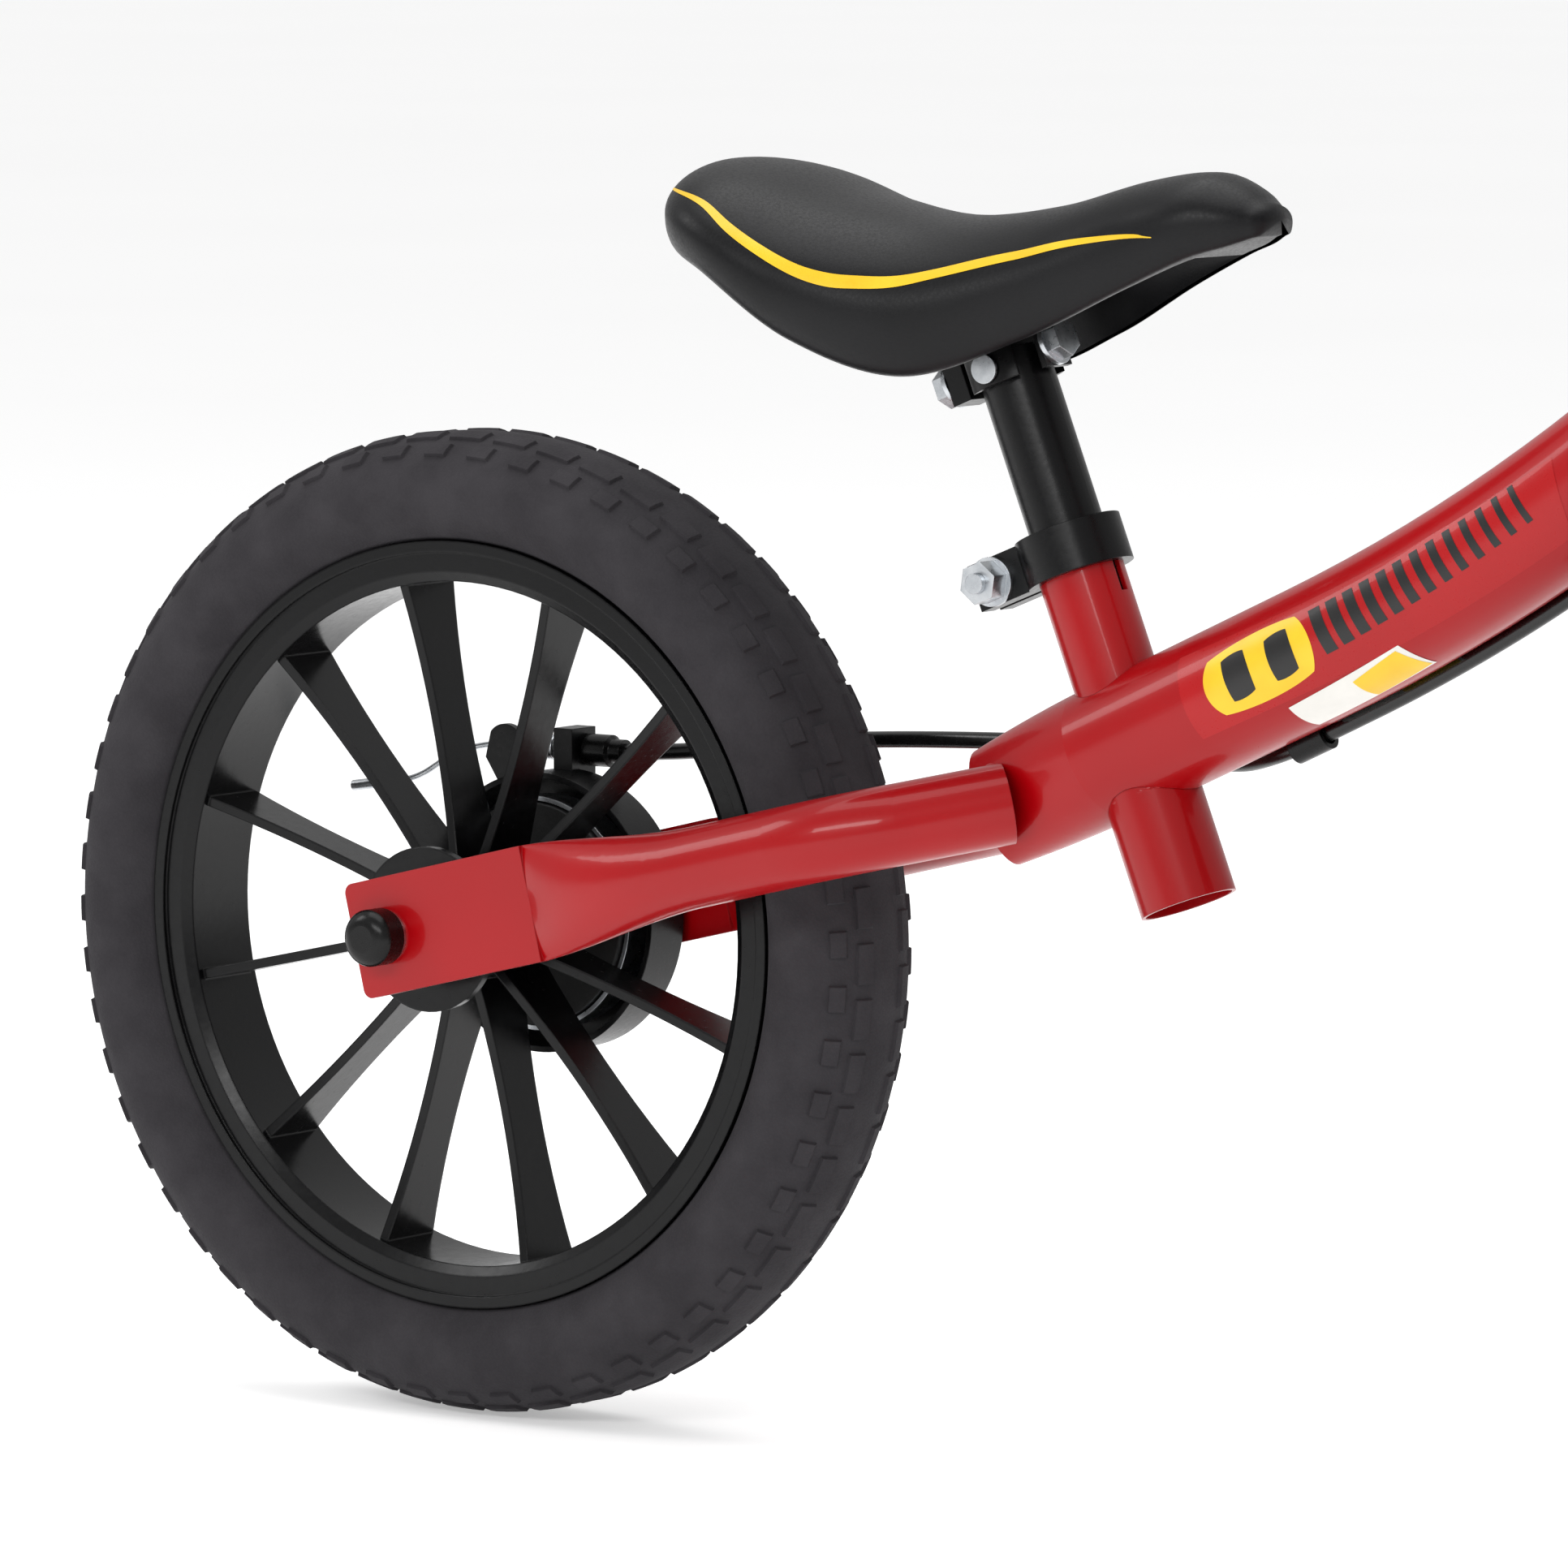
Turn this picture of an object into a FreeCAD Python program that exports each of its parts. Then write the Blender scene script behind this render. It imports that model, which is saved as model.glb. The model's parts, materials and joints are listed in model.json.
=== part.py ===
"""Child's balance bike with twelve-inch wheels.

Millimetres. +X points forward, +Y to the rider's left, +Z up. The origin is on the ground,
midway between the two axles. Every driving size is a cell of the sheet "dims"; tilted frames
along the seat tube, the steering axis, the stays and the fork blades are worked out from them.
"""
import FreeCAD, Part
import math
import os
from types import SimpleNamespace

import Sketcher
from FreeCAD import Placement, Rotation, Vector

DIMENSIONS = {
    # overall
    "wheelbase": 550, "head_angle": 69, "fork_rake": 27, "seat_angle": 68.1,
    # tyres and wheels
    "tyre_radius": 150, "tyre_width": 50, "tyre_depth": 38, "rim_radius": 116.5,
    "rim_width": 34, "rim_depth": 12.5, "rim_wall": 3, "rim_lip": 3.5,
    "hub_radius": 17.5, "hub_flange_radius": 25, "hub_right": 30, "hub_left": 22,
    "spoke_count": 12, "spoke_thickness": 3, "spoke_width": 23, "spoke_edge_radius": 250,
    "spoke_phase": 12.5,
    "bearing_radius": 11, "bearing_width": 7, "axle_radius": 4, "axle_overhang": 13,
    "bearing_fit": 0.03, "spacer_radius": 7, "washer_radius": 8, "washer_thickness": 1.6,
    "nut_flats": 13, "nut_height": 6, "cap_radius": 8.6, "cap_height": 10, "cap_wall": 1.2,
    # rear stays and fork blades
    "rear_gap": 92, "front_gap": 78, "plate_thickness": 4, "plate_height": 35,
    "plate_tail": 12, "plate_corner": 3, "plate_length": 56, "stay_slope": 13.7,
    "stay_radius": 12, "blade_radius": 11, "tube_wall": 1.6, "bulge_length": 60,
    "stay_bend_at": 168, "stay_bend_angle": 42, "stay_bend_radius": 45, "stay_reach": 52,
    "blade_bend_radius": 27, "blade_plate_height": 31, "blade_plate_length": 30, "blade_bulge": 50,
    # main tube, seat tube, socket and head tube
    "main_radius": 20, "main_slope": 24.8, "main_seat_height": 218.2, "main_tail": 53,
    "main_straight": 68, "main_curve": 600, "main_pinch_height": 36, "main_pinch_width": 21,
    "main_taper": 42, "main_wall": 2, "seat_foot_x": -38.5,
    "seat_tube_radius": 12.7, "seat_tube_bore": 11.2, "seat_tube_top": 64,
    "socket_radius": 14.3, "socket_bore": 13.1, "socket_length": 50, "socket_floor": 21.5,
    "head_tube_bottom": 190, "head_tube_length": 90, "head_tube_radius": 17,
    "head_tube_bore": 15, "steerer_radius": 12.7, "steerer_bore": 11.2,
    "crown_level": 166, "cup_radius": 18.5, "cup_height": 8,
    # seat
    "post_radius": 11.1, "post_wall": 1.6, "post_bottom": 8, "post_top": 119,
    "collar_height": 14, "collar_wall": 3.2, "collar_ear": 16, "collar_slot": 3, "ear_thickness": 6.5,
    "saddle_pivot_level": 115, "cheek_thickness": 3, "clamp_drop": 5, "clamp_rise": 13,
    "lug_width": 13, "lug_back": 20, "lug_front": 15.2, "pin_radius": 2.5, "channel_room": 4,
    "bolt_level": 2, "washer_depth": 1.5, "head_depth": 4, "saddle_rim": 5, "saddle_top": 12,
    # stem, handlebar and grips
    "quill_radius": 11.1, "quill_bottom": 236, "stem_level": 330, "stem_reach": 32,
    "stem_clamp_radius": 17, "stem_clamp_width": 36, "bar_radius": 11.1, "bar_wall": 1.8,
    "bar_half_width": 205, "bar_rise": 80, "bar_bend_radius": 38,
    "grip_radius": 14.5, "grip_length": 82, "grip_flange_radius": 20,
    # brake
    "drum_radius": 34, "drum_width": 14, "housing_radius": 43, "housing_wall": 1.8,
    "housing_back": 40.5, "band_thickness": 1.4, "arm_thickness": 2.5,
    "lever_dip": 42, "wire_radius": 0.9, "cable_radius": 2.5, "clip_radius": 4.6, "clip_length": 12,
    "cable_round": 26,
    "lever_thickness": 6, "lever_length": 74, "screw_radius": 3, "screw_head_radius": 5.6,
    # clearances between pieces that move past each other
    "running_gap": 0.3, "fit_gap": 0.05,
}

document = FreeCAD.newDocument("balance_bike")
sheet = document.addObject("Spreadsheet::Sheet", "dims")
for row, (alias, number) in enumerate(DIMENSIONS.items(), start=1):
    sheet.set(f"A{row}", alias)
    sheet.set(f"B{row}", str(number))
    sheet.setAlias(f"B{row}", alias)
document.recompute()


class Size:
    """A number together with the sheet expression that gives it."""

    def __init__(self, value, text):
        self.value = value
        self.text = text

    def __float__(self):
        return float(self.value)

    def __add__(self, other):
        return Size(self.value + float(other), f"({self.text} + {words(other)})")

    def __sub__(self, other):
        return Size(self.value - float(other), f"({self.text} - {words(other)})")

    def __mul__(self, other):
        return Size(self.value * float(other), f"({self.text} * {words(other)})")

    __radd__ = __add__
    __rmul__ = __mul__

    def __rsub__(self, other):
        return -self + other

    def __truediv__(self, other):
        return Size(self.value / float(other), f"({self.text} / {words(other)})")

    def __neg__(self):
        return Size(-self.value, f"(0 - {self.text})")


def words(size):
    """The expression text of a Size or of a plain number."""
    return size.text if isinstance(size, Size) else repr(float(size))


D = SimpleNamespace(**{name: Size(number, f"dims.{name}") for name, number in DIMENSIONS.items()})
NODES = {}


def bind(thing, name, size):
    """Tie one property to its sheet expression."""
    if isinstance(size, Size):
        thing.setExpression(name, size.text)
    else:
        setattr(thing, name, size)


def node(label, thing):
    """Register a finished sub-part under the name of its file."""
    thing.Label = label
    NODES[label] = thing
    return thing


# ---------------------------------------------------------------- frames along the tubes

class Frame:
    """A frame tilted in the XZ plane: local X is 'ahead', local Y stays, local Z is 'up'."""

    def __init__(self, x, z, tilt):
        self.base = Vector(float(x), 0, float(z))
        self.turn = Rotation(Vector(0, 1, 0), -tilt)

    def point(self, ahead=0.0, side=0.0, up=0.0):
        return self.base + self.turn.multVec(Vector(float(ahead), float(side), float(up)))

    def place(self, ahead=0.0, side=0.0, up=0.0, local=Rotation()):
        return Placement(self.point(ahead, side, up), self.turn.multiply(local))


TO_LEFT = Rotation(Vector(1, 0, 0), -90)
TO_RIGHT = Rotation(Vector(1, 0, 0), 90)
AHEAD = Rotation(Vector(0, 1, 0), 90)
UPSIDE_DOWN = Rotation(Vector(1, 0, 0), 180)
SIDES = {"left": 1, "right": -1}

rear_x = -float(D.wheelbase) / 2
front_x = float(D.wheelbase) / 2
axle_z = float(D.tyre_radius)
head = math.radians(float(D.head_angle))
rake = float(D.fork_rake)
SEAT = Frame(D.seat_foot_x, D.main_seat_height, 90 - float(D.seat_angle))
STEER = Frame(front_x - rake * math.sin(head), axle_z - rake * math.cos(head), 90 - float(D.head_angle))
STAY = Frame(rear_x, axle_z, float(D.stay_slope))
crown_climb = math.degrees(math.atan2(rake, float(D.crown_level)))
BLADE = Frame(front_x, axle_z, 180 - float(D.head_angle) + crown_climb)
MAIN = Frame(D.seat_foot_x, D.main_seat_height, float(D.main_slope))


# ---------------------------------------------------------------- solids

def sketch(body, plane, outline, holes=()):
    """Closed outline on an origin plane of the body.

    Each point is (x, y), or (x, y, radius) when an arc runs on to the next point;
    a positive radius turns counter-clockwise. Every coordinate is a constraint.
    """
    face = [item for item in body.Origin.OriginFeatures if item.Role == plane][0]
    drawing = body.newObject("Sketcher::SketchObject", "outline")
    drawing.AttachmentSupport = [(face, "")]
    drawing.MapMode = "FlatFace"
    ends = []
    for first, second in zip(outline, outline[1:] + outline[:1]):
        start = Vector(float(first[0]), float(first[1]), 0)
        stop = Vector(float(second[0]), float(second[1]), 0)
        if len(first) == 2:
            edge = drawing.addGeometry(Part.LineSegment(start, stop))
            ends.append((edge, 1, 2))
            continue
        radius = abs(float(first[2]))
        turn = 1 if float(first[2]) > 0 else -1
        half = (stop - start) * 0.5
        rise = math.sqrt(max(radius ** 2 - half.Length ** 2, 0))
        centre = start + half + Vector(-half.y, half.x, 0).normalize() * (rise * turn)
        angles = [math.atan2(p.y - centre.y, p.x - centre.x) for p in (start, stop)]
        if turn < 0:
            angles.reverse()
        circle = Part.Circle(centre, Vector(0, 0, 1), radius)
        edge = drawing.addGeometry(Part.ArcOfCircle(circle, angles[0], angles[1]))
        ends.append((edge, 1, 2) if turn > 0 else (edge, 2, 1))
        curve = drawing.addConstraint(Sketcher.Constraint("Radius", edge, radius))
        if isinstance(first[2], Size):
            drawing.setExpression(f"Constraints[{curve}]", first[2].text if turn > 0 else (-first[2]).text)
    for index, (edge, begin, _) in enumerate(ends):
        before, _, finish = ends[index - 1]
        drawing.addConstraint(Sketcher.Constraint("Coincident", before, finish, edge, begin))
    for (edge, begin, _), point in zip(ends, outline):
        pin(drawing, edge, begin, point[0], point[1])
    for x, y, radius in holes:
        ring = Part.Circle(Vector(float(x), float(y), 0), Vector(0, 0, 1), float(radius))
        edge = drawing.addGeometry(ring)
        size = drawing.addConstraint(Sketcher.Constraint("Radius", edge, float(radius)))
        drawing.setExpression(f"Constraints[{size}]", words(radius))
        pin(drawing, edge, 3, x, y)
    return drawing


def pin(drawing, edge, spot, x, y):
    """Hold one sketch point at its coordinates."""
    for kind, axis, size in (("DistanceX", -2, x), ("DistanceY", -1, y)):
        if float(size) == 0:
            drawing.addConstraint(Sketcher.Constraint("PointOnObject", edge, spot, axis))
            continue
        rule = drawing.addConstraint(Sketcher.Constraint(kind, -1, 1, edge, spot, float(size)))
        drawing.setExpression(f"Constraints[{rule}]", words(size))


def turned(outline, place):
    """A body turned about its own Z axis from (radius, height) points."""
    body = document.addObject("PartDesign::Body", "turned")
    spin(body, outline)
    body.Placement = place
    return body


def spin(body, outline):
    """Add one full revolution about the body's Z axis."""
    feature = body.newObject("PartDesign::Revolution", "turning")
    feature.Profile = sketch(body, "XZ_Plane", outline)
    feature.ReferenceAxis = (feature.Profile[0], ["V_Axis"])
    feature.Angle = 360
    return feature


def plate(outline, thickness, place, plane="XZ_Plane", holes=()):
    """A body padded both ways from an origin plane."""
    body = document.addObject("PartDesign::Body", "plate")
    pad(body, outline, thickness, plane, holes)
    body.Placement = place
    return body


def pad(body, outline, thickness, plane, holes=()):
    """Add one pad, centred on its plane."""
    feature = body.newObject("PartDesign::Pad", "pad")
    feature.Profile = sketch(body, plane, outline, holes)
    bind(feature, "Length", thickness)
    feature.Midplane = True
    return feature


def tube(outer, inner, bottom, top, place):
    """A plain sleeve about local Z."""
    return turned([(inner, bottom), (outer, bottom), (outer, top), (inner, top)], place)


def rod(radius, bottom, top, place):
    """A plain round bar about local Z."""
    return turned([(0, bottom), (radius, bottom), (radius, top), (0, top)], place)


def block(length, width, height, place):
    """A box centred on its placement."""
    box = document.addObject("Part::Box", "block")
    for name, size in (("Length", length), ("Width", width), ("Height", height)):
        bind(box, name, size)
    corner = Vector(-float(length) / 2, -float(width) / 2, -float(height) / 2)
    box.Placement = place.multiply(Placement(corner, Rotation()))
    return box


def hexagon(flats, height, place):
    """A hexagonal prism standing on its placement."""
    prism = document.addObject("Part::Prism", "hexagon")
    prism.Polygon = 6
    bind(prism, "Circumradius", flats * (1 / math.sqrt(3)))
    bind(prism, "Height", height)
    prism.Placement = place
    return prism


def fuse(*things):
    joined = document.addObject("Part::MultiFuse", "joined")
    joined.Shapes = list(things)
    return joined


def cut(base, *tools):
    """Take each tool away in turn."""
    for tool in tools:
        result = document.addObject("Part::Cut", "cut")
        result.Base = base
        result.Tool = tool
        base = result
    return base


def group(*things):
    """Separate solids that share one node."""
    compound = document.addObject("Part::Compound", "group")
    compound.Links = list(things)
    return compound


def ring_at(major, minor, place):
    """An elliptical section: its long axis along local Z, its normal along local X."""
    ellipse = document.addObject("Part::Ellipse", "section")
    bind(ellipse, "MajorRadius", major)
    bind(ellipse, "MinorRadius", minor)
    ellipse.Placement = place.multiply(Placement(Vector(), Rotation(Vector(0, 1, 0), -90)))
    return ellipse


def loft(sections):
    skin = document.addObject("Part::Loft", "loft")
    skin.Sections = sections
    skin.Solid = True
    return skin


def bent_wire(points, radii):
    """Straight runs joined by tangent arcs; radii has one value for each inner point."""
    edges = []
    here = points[0]
    for before, corner, after, radius in zip(points, points[1:], points[2:], radii):
        into = (corner - before).normalize()
        away = (after - corner).normalize()
        half_turn = into.getAngle(away) / 2
        trim = radius * math.tan(half_turn)
        start = corner - into * trim
        stop = corner + away * trim
        inward = (away - into).normalize()
        middle = corner + inward * (radius / math.cos(half_turn) - radius)
        edges.append(Part.LineSegment(here, start).toShape())
        edges.append(Part.Arc(start, middle, stop).toShape())
        here = stop
    edges.append(Part.LineSegment(here, points[-1]).toShape())
    return Part.Wire(edges)


def swept(wire, radius):
    """A round bar along a wire."""
    spine = document.addObject("Part::Feature", "route")
    spine.Shape = wire
    start = wire.Edges[0]
    ring = document.addObject("Part::Circle", "section")
    bind(ring, "Radius", radius)
    heading = start.tangentAt(start.FirstParameter)
    ring.Placement = Placement(start.Vertexes[0].Point, Rotation(Vector(0, 0, 1), heading))
    bar = document.addObject("Part::Sweep", "swept")
    bar.Sections = [ring]
    bar.Spine = (spine, [f"Edge{number}" for number in range(1, len(wire.Edges) + 1)])
    bar.Solid = True
    return bar


def cord_wire(name, points):
    """A cord's path: each arc as large as its two runs allow."""
    radii = []
    for before, corner, after in zip(points, points[1:], points[2:]):
        run = min((corner - before).Length, (after - corner).Length)
        turn = (corner - before).getAngle(after - corner)
        radii.append(0.45 * run / math.tan(turn / 2))
    print(name, "bend radii", [round(radius) for radius in radii])
    return bent_wire(points, radii)


# ---------------------------------------------------------------- wheels

def wheel(end, x):
    """Foam tyre, moulded wheel and its two bearings; the wheel's own axis is local Z."""
    turn = Rotation(Vector(0, 1, 0), -float(D.spoke_phase)).multiply(TO_LEFT)
    place = Placement(Vector(x, 0, axle_z), turn)

    section = document.addObject("Part::Ellipse", "tyre_section")
    bind(section, "MajorRadius", D.tyre_width / 2)
    bind(section, "MinorRadius", D.tyre_depth / 2)
    middle = D.tyre_radius - D.tyre_depth / 2
    section.Placement = Placement(Vector(float(middle), 0, 0), Rotation(Vector(0, 0, 1), Vector(0, 1, 0)).multiply(
        Rotation(Vector(0, 0, 1), 90)))
    section.setExpression(".Placement.Base.x", middle.text)
    ring = document.addObject("Part::Revolution", "tyre_ring")
    ring.Source = section
    ring.Axis = Vector(0, 0, 1)
    ring.Base = Vector(0, 0, 0)
    ring.Angle = 360
    ring.Solid = True
    seat = rod(D.rim_radius, -D.tyre_width, D.tyre_width, Placement())
    tyre = cut(ring, seat)
    tyre.Placement = place
    node(f"{end}_tyre", tyre)

    casting = document.addObject("PartDesign::Body", "casting")
    bore = D.bearing_radius - D.rim_wall
    spin(casting, [
        (bore, -D.hub_right + D.bearing_width), (D.bearing_radius, -D.hub_right + D.bearing_width),
        (D.bearing_radius, -D.hub_right), (D.hub_flange_radius, -D.hub_right),
        (D.hub_flange_radius, -D.hub_right + D.rim_wall), (D.hub_radius, -D.hub_right + D.rim_wall * 2),
        (D.hub_radius, D.hub_left), (D.bearing_radius, D.hub_left),
        (D.bearing_radius, D.hub_left - D.bearing_width), (bore, D.hub_left - D.bearing_width)])
    root = D.hub_radius - 1.5
    tip = D.rim_radius - D.rim_depth + 1
    half = D.spoke_width / 2
    waist = -D.spoke_edge_radius
    spoke = pad(casting, [(root, -half, waist), (tip, -half), (tip, half, waist), (root, half)],
                D.spoke_thickness, "XZ_Plane")
    spokes = casting.newObject("PartDesign::PolarPattern", "spokes")
    spokes.Originals = [spoke]
    spokes.Axis = ([item for item in casting.Origin.OriginFeatures if item.Role == "Z_Axis"][0], [""])
    spokes.Angle = 360
    bind(spokes, "Occurrences", D.spoke_count)
    casting.Tip = spokes
    inner = D.rim_radius - D.rim_depth
    shelf = D.rim_width / 2 - D.rim_wall / 2
    channel = inner + D.rim_wall
    lip_foot = D.rim_radius - D.rim_lip
    flat = shelf - 2
    spin(casting, [
        (inner, -flat), (channel, -shelf), (lip_foot, -shelf), (lip_foot, -D.rim_width / 2),
        (D.rim_radius, -D.rim_width / 2), (D.rim_radius, D.rim_wall - shelf),
        (channel, D.rim_wall - shelf), (channel, shelf - D.rim_wall),
        (D.rim_radius, shelf - D.rim_wall), (D.rim_radius, D.rim_width / 2),
        (lip_foot, D.rim_width / 2), (lip_foot, shelf), (channel, shelf), (inner, flat)])
    casting.Placement = place
    node(f"{end}_wheel_casting", casting)

    bearings = [tube(D.bearing_radius, D.axle_radius + D.bearing_fit, bottom, bottom + D.bearing_width, place)
                for bottom in (-D.hub_right, D.hub_left - D.bearing_width)]
    node(f"{end}_wheel_bearings", group(*bearings))


def axle_set(end, x, gap, left_face):
    """Axle, spacers, washers, nuts and caps; local Z runs to the rider's left."""
    place = Placement(Vector(x, 0, axle_z), TO_LEFT)
    reach = gap / 2 + D.axle_overhang
    node(f"{end}_axle", rod(D.axle_radius, -reach, reach, place))
    spacers = [tube(D.spacer_radius, D.axle_radius, -gap / 2, -D.hub_right - D.running_gap, place)]
    for bottom, top in left_face:
        spacers.append(tube(D.spacer_radius, D.axle_radius, bottom, top, place))
    node(f"{end}_axle_spacers", group(*spacers))
    outer = gap / 2 + D.plate_thickness
    seat = outer + D.washer_thickness
    washers, nuts, caps = [], [], []
    for turn in (TO_LEFT, TO_RIGHT):
        side = Placement(Vector(x, 0, axle_z), turn)
        washers.append(tube(D.washer_radius, D.axle_radius, outer, seat, side))
        lift = side.multiply(Placement(Vector(0, 0, float(seat)), Rotation()))
        nuts.append(cut(hexagon(D.nut_flats, D.nut_height, lift),
                        rod(D.axle_radius, outer, seat + D.nut_height * 2, side)))
        bore = D.nut_flats / math.sqrt(3) + D.fit_gap
        top = seat + D.cap_height
        caps.append(turned([
            (bore, seat), (D.cap_radius, seat), (D.cap_radius, top - 3.5, 5),
            (D.cap_radius - 4.5, top), (0, top), (0, top - D.cap_wall), (bore, top - D.cap_wall * 3)], side))
    node(f"{end}_axle_nuts", group(*washers, *nuts))
    node(f"{end}_axle_caps", group(*caps))


# ---------------------------------------------------------------- plated tubes

def plated_tube(frame, side, gap, radius, bend_at, bend_angle, bend_radius, reach, height, length, bulge):
    """A tube pressed flat at the axle, swelling to round, then bent inward.

    Local X of the frame runs from the axle along the tube; height and length are the flat's,
    and bulge is the length over which it swells.
    """
    inset = gap / 2 + D.plate_thickness / 2
    middle = float(inset) * side
    half = height / 2
    corner = D.plate_corner
    flat = plate([
        (corner - D.plate_tail, -half), (length, -half), (length, half),
        (corner - D.plate_tail, half, corner), (-D.plate_tail, half - corner),
        (-D.plate_tail, corner - half, corner)],
        D.plate_thickness, frame.place(side=middle), holes=[(0, 0, D.axle_radius + D.fit_gap)])
    round_from = length + bulge
    skins = []
    for wall in (0, D.tube_wall):
        swell = [(0.27, half * 0.93, radius * 0.62), (0.6, half * 0.45 + radius * 0.5, radius * 0.9),
                 (1, radius, radius)]
        if wall == 0:
            swell.insert(0, (0, half, D.plate_thickness / 2))
        sections = [ring_at(tall - wall, wide - wall, frame.place(ahead=length + bulge * share, side=middle))
                    for share, tall, wide in swell]
        bend = math.radians(float(bend_angle))
        start_point = frame.point(round_from, middle)
        corner_point = frame.point(bend_at, middle)
        end_point = frame.point(float(bend_at) + float(reach) * math.cos(bend),
                                middle - side * float(reach) * math.sin(bend))
        wire = bent_wire([start_point, corner_point, end_point], [float(bend_radius)])
        skins.append(fuse(loft(sections), swept(wire, radius - wall)))
    return cut(fuse(flat, skins[0]), skins[1])


# ---------------------------------------------------------------- frame tubes

def main_station(distance, below=0.0, side=0.0):
    """A point along the main tube's axis, counted forward from the seat tube."""
    straight = float(D.main_straight)
    if distance <= straight:
        return MAIN.point(distance, side, -float(below))
    turn = (distance - straight) / float(D.main_curve)
    offset = float(D.main_curve) + float(below)
    return MAIN.point(straight + offset * math.sin(turn), side,
                      float(D.main_curve) - offset * math.cos(turn))


def main_skin(wall):
    """The main tube's outer skin, or its bore when a wall is taken off."""
    radius = D.main_radius - wall
    tail = -D.main_tail + wall
    taper = -D.main_tail + D.main_taper
    length = 232
    shapes = ((tail, D.main_pinch_height / 2 - wall, D.main_pinch_width / 2 - wall),
              (tail + D.main_taper * 0.5, D.main_radius * 0.97 - wall, D.main_radius * 0.8 - wall),
              (taper, radius, radius))
    sections = [ring_at(tall, wide, MAIN.place(ahead=along)) for along, tall, wide in shapes]
    start = MAIN.point(float(taper))
    straight_end = main_station(float(D.main_straight))
    middle = main_station((float(D.main_straight) + length) / 2)
    edges = [Part.LineSegment(start, straight_end).toShape(),
             Part.Arc(straight_end, middle, main_station(length)).toShape()]
    return fuse(loft(sections), swept(Part.Wire(edges), radius))


main_outer = main_skin(D.main_wall * 0)
head_plug = rod(D.head_tube_radius, D.head_tube_bottom - 20, D.head_tube_bottom + D.head_tube_length + 20,
                STEER.place())
seat_plug = rod(D.seat_tube_radius, -16, D.seat_tube_top, SEAT.place())
far_block = block(80, 80, 200, STEER.place(ahead=40, up=D.head_tube_bottom + D.head_tube_length / 2))
node("main_tube", cut(main_outer, main_skin(D.main_wall), head_plug, far_block, seat_plug))
node("seat_tube", cut(tube(D.seat_tube_radius, D.seat_tube_bore, -16, D.seat_tube_top, SEAT.place()),
                      block(D.collar_slot, 8, 24, SEAT.place(ahead=D.seat_tube_radius, up=D.seat_tube_top - 10,
                                                             local=Rotation(Vector(0, 0, 1), 90)))))
node("accessory_socket", cut(
    rod(D.socket_radius, -D.socket_length, 0, SEAT.place()),
    rod(D.socket_bore, -D.socket_length, -D.socket_floor, SEAT.place()), main_outer))
node("head_tube", tube(D.head_tube_radius, D.head_tube_bore, D.head_tube_bottom,
                       D.head_tube_bottom + D.head_tube_length, STEER.place()))
for name, side in SIDES.items():
    stay = plated_tube(STAY, side, D.rear_gap, D.stay_radius, D.stay_bend_at, D.stay_bend_angle,
                       D.stay_bend_radius, D.stay_reach, D.plate_height, D.plate_length, D.bulge_length)
    middle_cut = block(60, 60, 80, STAY.place(ahead=D.stay_bend_at + D.stay_reach, side=-30 * side))
    node(f"chainstay_{name}", cut(stay, main_outer, middle_cut))

# ---------------------------------------------------------------- wheels and axles

wheel("rear", rear_x)
wheel("front", front_x)
back_face = D.housing_back + D.housing_wall
axle_set("rear", rear_x, D.rear_gap,
         [(D.hub_left + D.running_gap, D.housing_back), (back_face, D.rear_gap / 2)])
axle_set("front", front_x, D.front_gap, [(D.hub_left + D.running_gap, D.front_gap / 2)])

# ---------------------------------------------------------------- headset, fork and steerer

CUP = [(D.head_tube_bore - 1.8, -D.cup_height), (D.head_tube_bore, -D.cup_height), (D.head_tube_bore, 0),
       (D.cup_radius, 0), (D.cup_radius, D.cup_height), (D.cup_radius - 1.5, D.cup_height),
       (D.cup_radius - 1.5, 3.5), (D.head_tube_bore - 1.8, 3.5)]
head_top = D.head_tube_bottom + D.head_tube_length
cup_places = {"lower": STEER.place(up=D.head_tube_bottom, local=UPSIDE_DOWN),
              "upper": STEER.place(up=head_top)}
rings = []
for name, place in cup_places.items():
    node(f"headset_{name}_cup", turned(CUP, place))
    rings.append(tube(D.cup_radius - 1.8, D.head_tube_bore - 1.7, 3.5 + D.running_gap,
                      D.cup_height - 0.6, place))
node("headset_ball_rings", group(*rings))
race = D.cup_radius - 2
node("fork_crown_race", turned([
    (D.steerer_radius, D.cup_height - D.running_gap), (race, D.cup_height - D.running_gap),
    (race, D.cup_height + D.running_gap), (D.cup_radius - 0.5, D.cup_height + 1.5),
    (D.cup_radius - 0.5, D.cup_height + 4), (D.steerer_radius, D.cup_height + 4)], cup_places["lower"]))
node("headset_adjusting_race", turned([
    (D.steerer_radius, D.cup_height - D.running_gap), (race, D.cup_height - D.running_gap),
    (race, D.cup_height + D.running_gap), (D.cup_radius - 0.5, D.cup_height + 1.5),
    (D.cup_radius - 0.5, D.cup_height + 6), (D.steerer_radius, D.cup_height + 6)], cup_places["upper"]))
locknut_seat = cup_places["upper"].multiply(Placement(Vector(0, 0, float(D.cup_height) + 6), Rotation()))
node("headset_locknut", cut(hexagon(D.head_tube_radius * 1.9, 7, locknut_seat),
                            rod(D.steerer_radius, 0, 40, cup_places["upper"])))
steerer_top = head_top + D.cup_height + 12.5
node("fork_steerer", tube(D.steerer_radius, D.steerer_bore, D.crown_level - 14, steerer_top, STEER.place()))
steerer_plug = rod(D.steerer_radius, D.crown_level - 40, steerer_top, STEER.place())
blade_length = math.hypot(rake, float(D.crown_level))
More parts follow.
